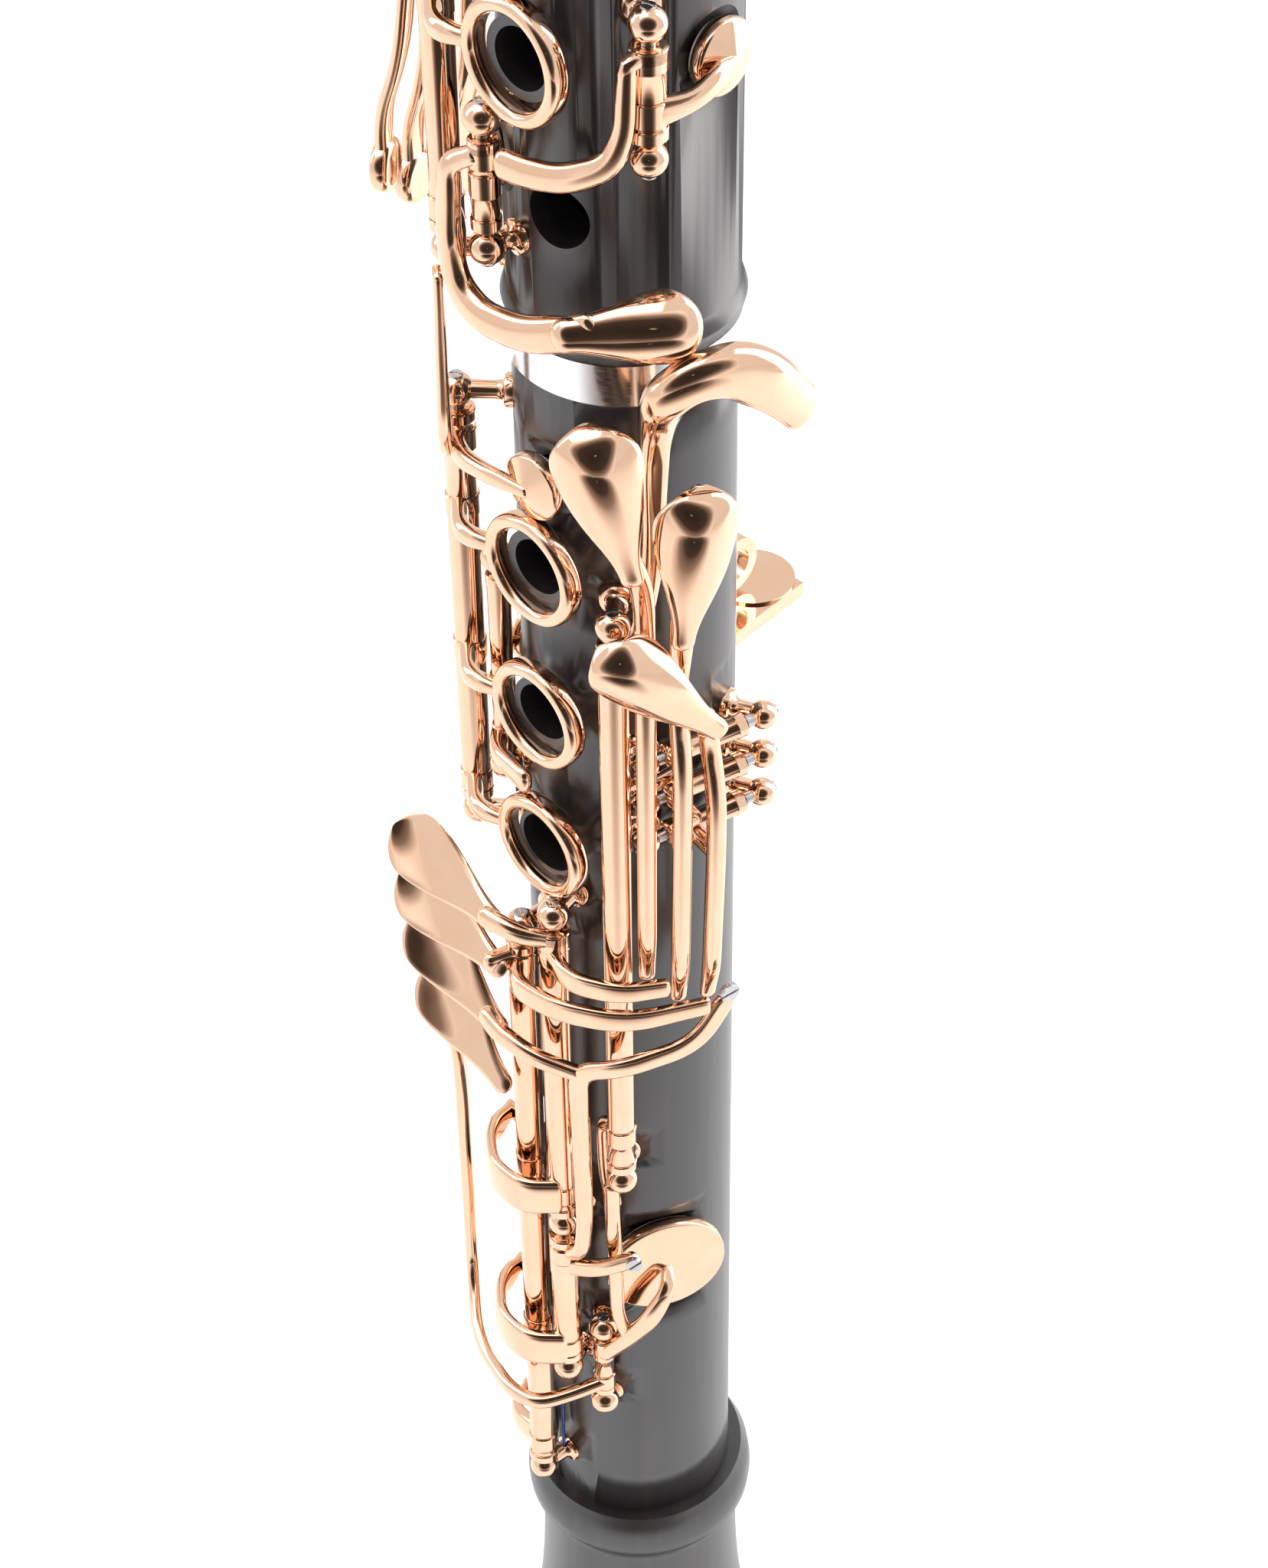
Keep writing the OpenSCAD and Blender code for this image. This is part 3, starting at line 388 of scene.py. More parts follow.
def bend_out(points, hinge, angle):
    """Points turned about a hinge's pin by an angle in degrees."""
    a = math.radians(angle)
    c, s = math.cos(a), math.sin(a)
    middle = polar(hinge.az, hinge.rho, 0)
    return (points - middle) @ np.array([[c, s, 0], [-s, c, 0], [0, 0, 1]]) + middle


def make_piece(name, shells, finish, body, nodes=(), open_key=None, sharp=38):
    """Joins surfaces into one mesh object at the origin, with smooth shading and sharp edges past an angle."""
    points = np.vstack([s[0] for s in shells])
    starts = np.cumsum([0] + [len(s[0]) for s in shells[:-1]])
    faces = np.vstack([s[1] + start for s, start in zip(shells, starts)])
    if open_key:
        points = bend_out(points, *OPEN[open_key])
    mesh = bpy.data.meshes.new(name)
    mesh.from_pydata((points * MM).tolist(), [], faces.tolist())
    tidy_mesh(mesh, sharp)
    piece = bpy.data.objects.new(name, mesh)
    bpy.context.scene.collection.objects.link(piece)
    mesh.materials.append(finish)
    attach(piece, body)
    if nodes:
        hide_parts(*nodes)
    return piece


def tidy_mesh(mesh, sharp):
    """Merges doubles, turns every closed surface outwards and shades it smooth."""
    bm = bmesh.new()
    bm.from_mesh(mesh)
    bmesh.ops.remove_doubles(bm, verts=bm.verts, dist=1e-7)
    bmesh.ops.dissolve_degenerate(bm, edges=bm.edges, dist=1e-7)
    bmesh.ops.recalc_face_normals(bm, faces=bm.faces)
    bm.to_mesh(mesh)
    bm.free()
    mesh.shade_smooth()
    mesh.set_sharp_from_angle(angle=math.radians(sharp))


# ---- finishes ----


class Finish:
    """A node material read in object coordinates; helpers add its noise, colour steps and bump."""

    def __init__(self, name, **base):
        self.name = name
        self.material = bpy.data.materials.new(name)
        self.material.use_nodes = True
        self.tree = self.material.node_tree
        self.shader = self.tree.nodes["Principled BSDF"]
        for key, value in base.items():
            self.shader.inputs[key.replace("_", " ")].default_value = value
        self.place = self.add("ShaderNodeTexCoord").outputs["Object"]

    def add(self, kind, **settings):
        """A node with its settings."""
        node = self.tree.nodes.new(kind)
        for key, value in settings.items():
            setattr(node, key, value)
        return node

    def noise(self, scale, stretch=(1, 1, 1), detail=4.0, rough=0.55):
        """Noise on object coordinates that are stretched along an axis."""
        turn = self.add("ShaderNodeMapping")
        turn.inputs["Scale"].default_value = stretch
        self.tree.links.new(self.place, turn.inputs["Vector"])
        node = self.add("ShaderNodeTexNoise")
        for key, value in (("Scale", scale), ("Detail", detail), ("Roughness", rough)):
            node.inputs[key].default_value = value
        self.tree.links.new(turn.outputs[0], node.inputs["Vector"])
        return node.outputs["Fac"]

    def distance(self, middle, wide, high):
        """How far out on a sheet, 0 at its middle and 1 at its edge."""
        turn = self.add("ShaderNodeMapping", vector_type="TEXTURE")
        turn.inputs["Location"].default_value = middle
        turn.inputs["Scale"].default_value = (wide, wide, high)
        self.tree.links.new(self.place, turn.inputs["Vector"])
        length = self.add("ShaderNodeVectorMath", operation="LENGTH")
        self.tree.links.new(turn.outputs[0], length.inputs[0])
        return length.outputs["Value"]

    def ramp(self, value, stops, socket):
        """Colour or grey steps of a value into a shader socket."""
        node = self.add("ShaderNodeValToRGB")
        points = node.color_ramp.elements
        points[0].position, points[1].position = stops[0][0], stops[-1][0]
        for place, colour in stops[1:-1]:
            points.new(place)
        for point, (place, colour) in zip(points, stops):
            grey = isinstance(colour, float)
            point.color = (colour, colour, colour, 1) if grey else (*colour, 1)
        self.tree.links.new(value, node.inputs["Fac"])
        self.tree.links.new(node.outputs["Color"], self.shader.inputs[socket])
        return self

    def bump(self, value, strength, depth=0.0001):
        """Bump from a value; a second call lies on the first."""
        node = self.add("ShaderNodeBump")
        node.inputs["Strength"].default_value = strength
        node.inputs["Distance"].default_value = depth
        self.tree.links.new(value, node.inputs["Height"])
        before = self.shader.inputs["Normal"]
        if before.is_linked:
            self.tree.links.new(before.links[0].from_socket, node.inputs["Normal"])
        self.tree.links.new(node.outputs["Normal"], before)
        return self


FINISHES = {}


def make_finishes(colours):
    """All the finishes of the instrument."""
    gold, dark = tuple(colours.gold), tuple(colours.wood)
    warm = tuple(min(1.0, c * k) for c, k in zip(gold, (1.02, 1.06, 1.12)))
    plate = Finish("rose_gold_plate", Metallic=1.0, IOR=1.5)
    plate.ramp(plate.noise(160, detail=3), [(0.35, gold), (0.65, warm)], "Base Color")
    plate.ramp(plate.noise(420, detail=5), [(0.3, 0.045), (0.7, 0.10)], "Roughness")
    plate.bump(plate.noise(260, detail=2), 0.035).bump(plate.noise(2600, (1, 1, 0.15), detail=3), 0.03, 0.00002)
    silver = Finish("silver_plate", Metallic=1.0)
    silver.ramp(silver.noise(150), [(0.3, (0.80, 0.79, 0.80)), (0.7, (0.93, 0.92, 0.92))], "Base Color")
    silver.ramp(silver.noise(900, (1, 1, 8)), [(0.3, 0.10), (0.7, 0.22)], "Roughness")
    silver.bump(silver.noise(1500, (0.1, 0.1, 6)), 0.04, 0.00003)
    steel = Finish("turned_steel", Metallic=1.0)
    steel.ramp(steel.noise(800, (1, 1, 9)), [(0.3, (0.46, 0.46, 0.48)), (0.7, (0.68, 0.68, 0.70))], "Base Color")
    steel.ramp(steel.noise(1200, (1, 1, 12)), [(0.3, 0.16), (0.7, 0.34)], "Roughness")
    steel.bump(steel.noise(1800, (0.2, 0.2, 14)), 0.08, 0.00003)
    blued = Finish("blued_spring_steel", Metallic=1.0)
    blued.ramp(blued.noise(300, (1, 1, 0.4)), [(0.3, (0.03, 0.06, 0.20)), (0.7, (0.09, 0.14, 0.34))], "Base Color")
    blued.ramp(blued.noise(900), [(0.3, 0.2), (0.7, 0.35)], "Roughness")
    wood = Finish("grenadilla", IOR=1.62, Specular_IOR_Level=0.75)
    brown = tuple(c * k for c, k in zip(dark, (2.3, 1.75, 1.6)))
    grain = wood.noise(420, (1, 1, 0.035), detail=8, rough=0.62)
    wood.ramp(grain, [(0.3, tuple(c * 0.7 for c in dark)), (0.55, dark), (0.8, brown)], "Base Color")
    wood.ramp(wood.noise(700, (1, 1, 0.05), detail=6), [(0.25, 0.27), (0.75, 0.33)], "Roughness")
    wood.bump(grain, 0.03, 0.00004).bump(wood.noise(2600, (1, 1, 0.03), detail=4), 0.03, 0.00002)
    rubber = Finish("hard_rubber", IOR=1.6)
    rubber.ramp(rubber.noise(90), [(0.3, (0.010, 0.010, 0.011)), (0.7, (0.018, 0.018, 0.019))], "Base Color")
    rubber.ramp(rubber.noise(600), [(0.3, 0.10), (0.7, 0.20)], "Roughness")
    rubber.bump(rubber.noise(1400), 0.02, 0.00003)
    cane = Finish("cane", IOR=1.45)
    cane.ramp(cane.noise(900, (1, 1, 0.02), detail=7),
              [(0.25, (0.50, 0.34, 0.13)), (0.5, (0.68, 0.50, 0.24)), (0.8, (0.80, 0.64, 0.36))], "Base Color")
    cane.ramp(cane.noise(1200, (1, 1, 0.05)), [(0.3, 0.42), (0.7, 0.6)], "Roughness")
    cane.bump(cane.noise(1600, (1, 1, 0.02)), 0.25, 0.00006)
    cork = Finish("cork")
    cork.ramp(cork.noise(700, detail=7),
              [(0.3, (0.20, 0.11, 0.05)), (0.5, (0.46, 0.29, 0.15)), (0.75, (0.60, 0.41, 0.23))], "Base Color")
    cork.ramp(cork.noise(900), [(0.3, 0.7), (0.7, 0.9)], "Roughness")
    cork.bump(cork.noise(1100, detail=6), 0.6, 0.0001)
    skin = Finish("pad_skin", IOR=1.4, Subsurface_Weight=0.08)
    skin.ramp(skin.noise(500, detail=6), [(0.3, (0.74, 0.71, 0.65)), (0.7, (0.88, 0.86, 0.81))], "Base Color")
    skin.ramp(skin.noise(800), [(0.3, 0.42), (0.7, 0.6)], "Roughness")
    skin.bump(skin.noise(1300, detail=5), 0.25, 0.00005)
    for finish in (plate, silver, steel, blued, wood, rubber, cane, cork, skin):
        FINISHES[finish.name] = finish.material


# ---- sizes and colours that a user would change ----


class ClarinetSizes(bpy.types.PropertyGroup):
    """Sizes of the fine shapes."""

    ring_height: bpy.props.FloatProperty(
        name="Ring height", description="Height of the wall of a finger ring, in millimetres", default=3.0, min=2,
            max=3.4)
    arm_half: bpy.props.FloatProperty(
        name="Arm half width", description="Half width of an ordinary key arm, in millimetres", default=1.25, min=0.9,
        max=1.6)
    touch_thick: bpy.props.FloatProperty(
        name="Touch thickness", description="Thickness of a touch plate at its root, in millimetres", default=2.2,
        min=1.4, max=2.8)


class ClarinetColours(bpy.types.PropertyGroup):
    """Colours of the finishes and of the floor."""

    gold: bpy.props.FloatVectorProperty(
        name="Rose gold", description="Colour of the plated keywork", subtype="COLOR", default=(0.90, 0.585, 0.40),
        min=0, max=1)
    wood: bpy.props.FloatVectorProperty(
        name="Wood", description="Middle colour of the grenadilla", subtype="COLOR", default=(0.0165, 0.0138, 0.0142),
        min=0, max=1)
    floor: bpy.props.FloatVectorProperty(
        name="Floor", description="Colour of the floor", subtype="COLOR", default=(0.93, 0.93, 0.935), min=0, max=1)


def sizes():
    """The sizes in use."""
    return bpy.context.scene.clarinet_sizes


# ---- operators ----


def gold_piece(name, shells, body, nodes, open_key=None):
    """A plated piece of keywork in place of its CAD nodes."""
    return make_piece(name, shells, FINISHES["rose_gold_plate"], body, nodes, open_key)


WOODEN = {"bell": "grenadilla", "lower_joint": "grenadilla", "upper_joint": "grenadilla", "barrel": "grenadilla",
          "mouthpiece": "hard_rubber", "reed": "cane"}


class ClarinetBody(bpy.types.Operator):
    """Wooden joints, mouthpiece and reed: the CAD surfaces, merged and shaded smooth"""

    bl_idname = "clarinet.body"
    bl_label = "Body"

    def execute(self, context):
        for node, finish in WOODEN.items():
            source = frame["nodes"][node]
            mesh = source.data.copy()
            mesh.materials.clear()
            mesh.materials.append(FINISHES[finish])
            bm = bmesh.new()
            bm.from_mesh(mesh)
            bmesh.ops.remove_doubles(bm, verts=bm.verts, dist=1e-6)
            bm.to_mesh(mesh)
            bm.free()
            mesh.shade_smooth()
            mesh.set_sharp_from_angle(angle=math.radians(24))
            piece = bpy.data.objects.new(f"{node}_surface", mesh)
            context.scene.collection.objects.link(piece)
            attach(piece, "root")
            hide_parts(node)
        return {"FINISHED"}


PLAIN_FINISH = {"socket_ring": "silver_plate", "barrel_rings": "silver_plate", "ligature": "rose_gold_plate",
                "ligature_screws": "rose_gold_plate", "tenon_corks": "cork", "thumb_rest": "rose_gold_plate",
                "thumb_rest_screws": "turned_steel", "vent_tubes": "silver_plate", "lower_rods": "turned_steel",
                "upper_rods": "turned_steel", "lower_springs": "blued_spring_steel",
                "upper_springs": "blued_spring_steel"}


class ClarinetFittings(bpy.types.Operator):
    """Rings, ligature, corks, pins and springs: the CAD shapes with their finishes"""

    bl_idname = "clarinet.fittings"
    bl_label = "Fittings"

    def execute(self, context):
        for node, finish in PLAIN_FINISH.items():
            slots = frame["nodes"][node].data.materials
            slots.clear()
            slots.append(FINISHES[finish])
        return {"FINISHED"}


class ClarinetPosts(bpy.types.Operator):
    """Ball posts with their foot flanges, and the slotted pin screws in them"""

    bl_idname = "clarinet.posts"
    bl_label = "Posts"

    def execute(self, context):
        for part, hinges, pivots in (("lower", LOWER_HINGES, LOWER_PIVOTS), ("upper", UPPER_HINGES, UPPER_PIVOTS)):
            balls, heads = [], []
            for h in hinges:
                for end, way in ((h.low - 2.6, -1), (h.high + 2.6, 1)):
                    balls.append(post(h.az, h.rho, end, 2.3))
                    heads += screw_head(polar(h.az, h.rho, end + way * 2.12), [0, 0, way], 0.95, 0.22, h.az)
            for p in pivots:
                for along, way in ((p.left, -1), (p.right, 1)):
                    spot = p.at(along)
                    azimuth = math.degrees(math.atan2(spot[0], -spot[1]))
                    balls.append(post(azimuth, math.hypot(spot[0], spot[1]), p.z, 2.0))
                    heads += screw_head(p.at(along + way * 1.83), tangent(p.az) * way, 0.85, 0.2, p.z)
            gold_piece(f"{part}_ball_posts", balls, "root", [f"{part}_posts"])
            make_piece(f"{part}_pin_screws", heads, FINISHES["turned_steel"], "root")
        return {"FINISHED"}


def ring_and_arm(h, z):
    """A finger ring with the tapered arm that arches from its edge to the hinge tube."""
    edge = polar(0, 16.6, z) + [-7.4, 0, 0]
    arm = bar([edge + [0.3, 0.2, 0], edge + [-4.4, -1.6, 0], h.at(z, 0.4)],
        [(0, 1.1, 1.2), (0.4, 1.5, 1.15), (1, 2.3, 1.3)],
              4, 2.5, LEVEL)
    return [finger_ring(0, z, sizes().ring_height), arm]


class ClarinetRingKeys(bpy.types.Operator):
    """Finger-ring keys of both joints, the thumb ring and their vent cups"""

    bl_idname = "clarinet.ring_keys"
    bl_label = "Ring keys"

    def execute(self, context):
        a = sizes().arm_half
        lower = [tube_of(RING, [*LOWER_HOLES, 314])]
        for z in LOWER_HOLES:
            lower += ring_and_arm(RING, z)
        lower += [cup(S_VENT, 1.1)]
        lower += [bar([S_VENT.top(0, 0.3), polar(-18, 19, 316.2), polar(-36, 21.2, 315), RING.at(314, 0.3)],
                      [(0, 0.9, 0.8), (0.3, a, 1), (1, 2, 1.2)], 5, 2.5, LEVEL)]
        lower += [bar([RING.at(312.6, 0.4), polar(-44, 22.7, 314), polar(-36, 22.9, 320), polar(-36, 22.7, 343)],
                      [(0, 1.2, 1.1), (0.6, 1.3, 0.8), (1, 1.6, 0.7)], 5, 3)]
        gold_piece("lower_ring_key_fine", lower, "lower_ring_body", ["lower_ring_key"], "lower_ring")
        upper = [tube_of(UPPER_RING, [*UPPER_HOLES, 389.2, 349])]
        for z in UPPER_HOLES:
            upper += ring_and_arm(UPPER_RING, z)
        upper += [cup(S_UPPER_VENT, 0.9)]
        upper += [bar([S_UPPER_VENT.top(0, 0.2), polar(-24, 19.6, 389.2), polar(-40, 21.2, 389.2),
            UPPER_RING.at(389.2, 0.3)],
                      [(0, 0.9, 0.8), (0.3, a, 1), (1, 2, 1.2)], 5, 2.5, LEVEL)]
        upper += [bar([UPPER_RING.at(349, -0.6), polar(-44, 19.7, 348), polar(-37, 19.9, 341.2)],
                      [(0, 1.3, 1), (1, 1.5, 0.8)], 4, 2.6)]
        gold_piece("upper_ring_key_fine", upper, "upper_ring_body", ["upper_ring_key"], "upper_ring")
        thumb = [tube_of(THUMB, [THUMB_HOLE, 427]), finger_ring(180, THUMB_HOLE, sizes().ring_height),
            cup(S_THUMB, 0.9)]
        thumb += [bar([polar(180, 16.4, THUMB_HOLE) + [7.4, 0, 0], polar(144, 20.8, THUMB_HOLE),
            THUMB.at(THUMB_HOLE, 0.2)],
                      [(0, 1.1, 1.1), (1, 2, 1.2)], 5, 2.5, LEVEL)]
        thumb += [bar([S_THUMB.top(0, 0.2), polar(152, 20.2, 427), THUMB.at(427, 0.2)],
                      [(0, 0.9, 0.8), (0.3, a, 1), (1, 2, 1.2)], 5, 2.5, LEVEL)]
        gold_piece("thumb_ring_key_fine", thumb, "thumb_ring_body", ["thumb_ring_key"], "thumb_ring")
        return {"FINISHED"}


def little_finger_touch(z, tilt, crown=-1.2):
    """Dished touch for the right little finger: from the hinge side it rises and reaches to the player's right."""
    t, r = math.radians(tilt), math.radians(169)
    way = np.array([math.cos(t) * math.cos(r), math.cos(t) * math.sin(r), -math.sin(t)])
    out = np.array([-0.12, -0.74, 0.67])
    return touch([-4.5, -24, z], way, out, 20.3, 4.8, 1.7, sizes().touch_thick * 0.8, crown, -0.8)


def strap(points, half):
    """Flat strap over the hinge tubes: broad and thin in the middle, drawn in where it meets the cup."""
    return bar(points, [(0, half, 1.15), (0.45, half, 0.95), (0.8, half * 0.72, 0.95), (1, 1.1, 0.9)], 6, 3.2, LEVEL,
        24)


class ClarinetRightHandKeys(bpy.types.Operator):
    """Right little-finger keys, the small trill key beside the rings, and their cups"""

    bl_idname = "clarinet.right_hand_keys"
    bl_label = "Right-hand keys"

    def execute(self, context):
        a = sizes().arm_half
        side = [tube_of(SLIVER, [267, 276]), cup(S_SLIVER)]
        side += [bar([SLIVER.at(267, 0.7), polar(-26, 19.6, 267), polar(-5, 19.4, 267)], [(0, 1.4, 1.2), (1, 1.9, 1.0)],
                     4, 2.6, LEVEL)]
        side += [bar([S_SLIVER.top(0, 0.2), polar(-62, 17.5, 276), SLIVER.at(276, 0.3)],
                     [(0, 0.9, 0.8), (0.4, a, 1), (1, 1.7, 1.1)], 4, 2.5, LEVEL)]
        gold_piece("sliver_key_fine", side, "sliver_body", ["sliver_key"])

        low = [tube_of(E_B, [122, 190, 152, 233]), cup(S_E_B, 0.8, 0.5), little_finger_touch(233.6, -14)]
        low += [bar([S_E_B.top(0, 0.3), polar(-30, 21, 121), E_B.at(122, 0.2)],
                    [(0, 1, 0.8), (0.3, 1.7, 1), (1, 3, 1.4)], 5, 2.6, LEVEL)]
        low += [bar([[-5.5, -24, 233.8], E_B.at(233.8, 0.4)], [(0, 1.8, 1.2), (1, 2.2, 1.4)], 3, 2.4, LEVEL)]
        low += [bar([E_B.at(232.4, 1), polar(-2, 24.6, 232.4), polar(14, 26.2, 232.4), polar(36, 27.4, 232.4),
                     polar(61, 27.2, 233)], [(0, 2.0, 1.1), (0.5, 1.9, 0.75), (1, 1.5, 0.75)], 6, 3.4, LEVEL, 24)]
        gold_piece("e_b_key_fine", low, "e_b_body", ["e_b_key"], "e_b")

        sharp = [tube_of(F_SHARP, [188, 238, 241]), cup(S_F_SHARP, 0.8, 0.5), little_finger_touch(243.2, -14)]
        sharp += [strap([F_SHARP.at(188, 1.7), polar(-2, 24.6, 188), polar(-16, 24.6, 188), polar(-34, 21.5, 188),
                         S_F_SHARP.top(0, 0.3)], 3.6)]
        sharp += [bar([F_SHARP.at(241.2, 1), polar(0, 24, 243), [-5.5, -24, 243.4]], [(0, 1.4, 1.1), (1, 1.7, 1.2)], 4,
                      2.4, LEVEL)]
        sharp += [bar([F_SHARP.at(238, 1), polar(20, 25, 238), polar(36, 26.4, 238), polar(50, 26, 238)],
                      [(0, 1.9, 1.1), (0.5, 1.8, 0.75), (1, 1.5, 0.75)], 6, 3.4, LEVEL, 24)]
        gold_piece("f_sharp_key_fine", sharp, "f_sharp_body", ["f_sharp_key"], "f_sharp")

        middle = [tube_of(F_C, [152, 171, 174]), cup(S_F_C, 0.8, 0.5), little_finger_touch(221.5, -27)]
        middle += [strap([F_C.at(152, 1.7), polar(-2, 24.6, 152), polar(-16, 24.6, 152), polar(-34, 21.5, 152),
                          S_F_C.top(0, 0.3)], 3.6)]
        middle += [bar([polar(11, 20.5, 174), polar(20, 22.6, 178), polar(22, 23.2, 186), polar(22, 24.6, 220),
                        polar(36, 26.4, 223), polar(60, 26.4, 226), polar(70, 26.6, 233)],
                       [(0, 1.2, 1.1), (0.5, 1.35, 1.2), (0.75, 1.6, 0.8), (1, 1.7, 0.8)], 6, 2.8, OUT_OF_BORE, 22)]
        middle += [bar([polar(22, 24.6, 219.5), polar(6, 25.4, 221), polar(-8, 25.2, 222), [-6.5, -23.8, 222.4]],
                       [(0, 1.3, 1), (1, 1.8, 1.2)], 5, 2.6, LEVEL)]
        middle += [bar([polar(11, 20.5, 171), polar(26, 22.2, 174), polar(40, 22.4, 177)],
            [(0, 1.5, 1.1), (1, 1.4, 0.9)], 4,
                       3, LEVEL)]
        gold_piece("f_c_key_fine", middle, "f_c_body", ["f_c_key"], "f_c")
        head = screw_head(polar(70, 27.4, 235.2), outward(70), 1.5, 0.5, 0.4) + screw_head(
            polar(40, 23.2, 176.8), outward(40), 1.3, 0.45, 1.1)
        head = [(bend_out(points, *OPEN["f_c"]), faces) for points, faces in head]
        make_piece("f_c_regulating_screws", head, FINISHES["turned_steel"], "f_c_body")

        flat = [tube_of(A_FLAT, [141.8, 149]), cup(S_A_FLAT, 0.55, 0.6), little_finger_touch(209, -27)]
        flat += [bar([polar(25, 17.8, 149), polar(38, 19, 155), polar(48, 20.2, 161), polar(56, 19.6, 166.5),
                      S_A_FLAT.top(0, 0)], [(0, 1.5, 1.1), (0.6, 1.6, 1), (1, 1.1, 0.7)], 5, 2.4)]
        flat += [bar([polar(24, 17.9, 141.8), polar(12, 21.4, 140.6), polar(3, 25.6, 140), polar(-9, 26.2, 139.5),
                      polar(-34, 26.6, 139), polar(-58, 27, 144), polar(-62, 27.4, 190), polar(-52, 27.6, 206),
                      polar(-34, 26.6, 211)], [(0, 1.2, 1.1), (0.3, 1.4, 1), (0.8, 1.6, 1.1), (1, 1.4, 1)], 8, 2.4)]
        flat += [bar([polar(38, 18.7, 155), polar(33, 18.7, 160), polar(31, 18.9, 190)], [(0, 1.1, 1), (1, 1.2, 0.9)],
                     4, 2.6)]
        gold_piece("a_flat_key_fine", flat, "a_flat_body", ["a_flat_key"])
        return {"FINISHED"}


def lever_shells(p, az, rho, tail_z, neck_z, tip, tilt, length, wide):
    """Left little-finger lever: a see-saw rod from its tail over the pivot to a drop-shaped touch."""
    turn = math.radians(az - p.az)
    foot_x, foot_y = max(rho * math.sin(turn), p.left + 4.0), rho * math.cos(turn) - 0.6
    lift, knee = polar(az, rho, p.z), p.at(foot_x, foot_y - p.rho)
    way = np.array([math.sin(math.radians(tilt)) * math.cos(math.radians(tip[0])),
                    math.sin(math.radians(tilt)) * math.sin(math.radians(tip[0])), math.cos(math.radians(tilt))])
    end = polar(*tip)
    rod = [polar(az, rho - 2, tail_z - 6), polar(az, rho - 1, tail_z), lift, polar(az, rho, p.z + 11),
        polar(az, 21, neck_z),
           end]
    return [
        pivot_tube(p),
        bar([p.at(foot_x), knee], [(0, 1.5, 1.3), (1, 1.1, 1.1)], 2, 2.4, LEVEL),
        bar([knee, lift], [(0, 1.0, 1.0)], 2, 2.2, LEVEL),
        bar(rod, [(0, 1.2, 0.9), (0.12, 1.35, 1.25), (0.8, 1.4, 1.3), (1, 1.7, 1.2)], 9, 2.1),
        touch(end - way * 2.4, way, outward(tip[0]), length, wide, 1.5, sizes().touch_thick, 3.4, 1.2),
    ]


class ClarinetLeftHandLevers(bpy.types.Operator):
    """Left little-finger levers and the long hook-ended lever beside them"""

    bl_idname = "clarinet.left_hand_levers"
    bl_label = "Left-hand levers"

    def execute(self, context):
        for name, *shape in (
            ("f_sharp", P_F_SHARP, 47.5, 22.5, 243, 306, (42, 24.6, 314), -14, 23.0, 5.7),
            ("e_b", P_E_B, 59, 23.6, 239, 288, (58.4, 24.6, 303), 7, 23.0, 5.6),
            ("f_c", P_F_C, 71, 23.6, 238, 281, (63, 26.4, 288), -42, 23.0, 5.0),
        ):
            gold_piece(f"lever_{name}_fine", lever_shells(*shape), f"lever_{name}_body", [f"lever_{name}"])
        hook = [tube_of(HOOK, [204, 293.6])]
        hook += [bar([polar(37, 19.8, 293.6), polar(47, 17.4, 296), polar(53, 17.2, 308), polar(53, 17.6, 322),
                      polar(53, 20, 331), polar(54, 23, 337), polar(62, 24, 339.8), polar(74, 24.4, 339.8),
                      polar(86, 25, 336), polar(97, 26, 330)],
                     [(0, 1.2, 1.2), (0.3, 1.6, 1.15), (0.48, 1.9, 1.2), (0.68, 3.0, 2.3), (0.85, 3.8, 2.5),
                     (1, 3.2, 1.9)], 8,
                     2.3, OUT_OF_BORE, 28)]
        hook += [bar([polar(34, 19.6, 204), polar(27, 17.5, 203), polar(27, 16.9, 192), polar(30.5, 16.6, 184)],
                     [(0, 1.1, 1.1), (1, 1.3, 0.9)], 4, 2.4)]
        gold_piece("hook_lever_fine", hook, "hook_lever_body", ["hook_lever"])
        return {"FINISHED"}


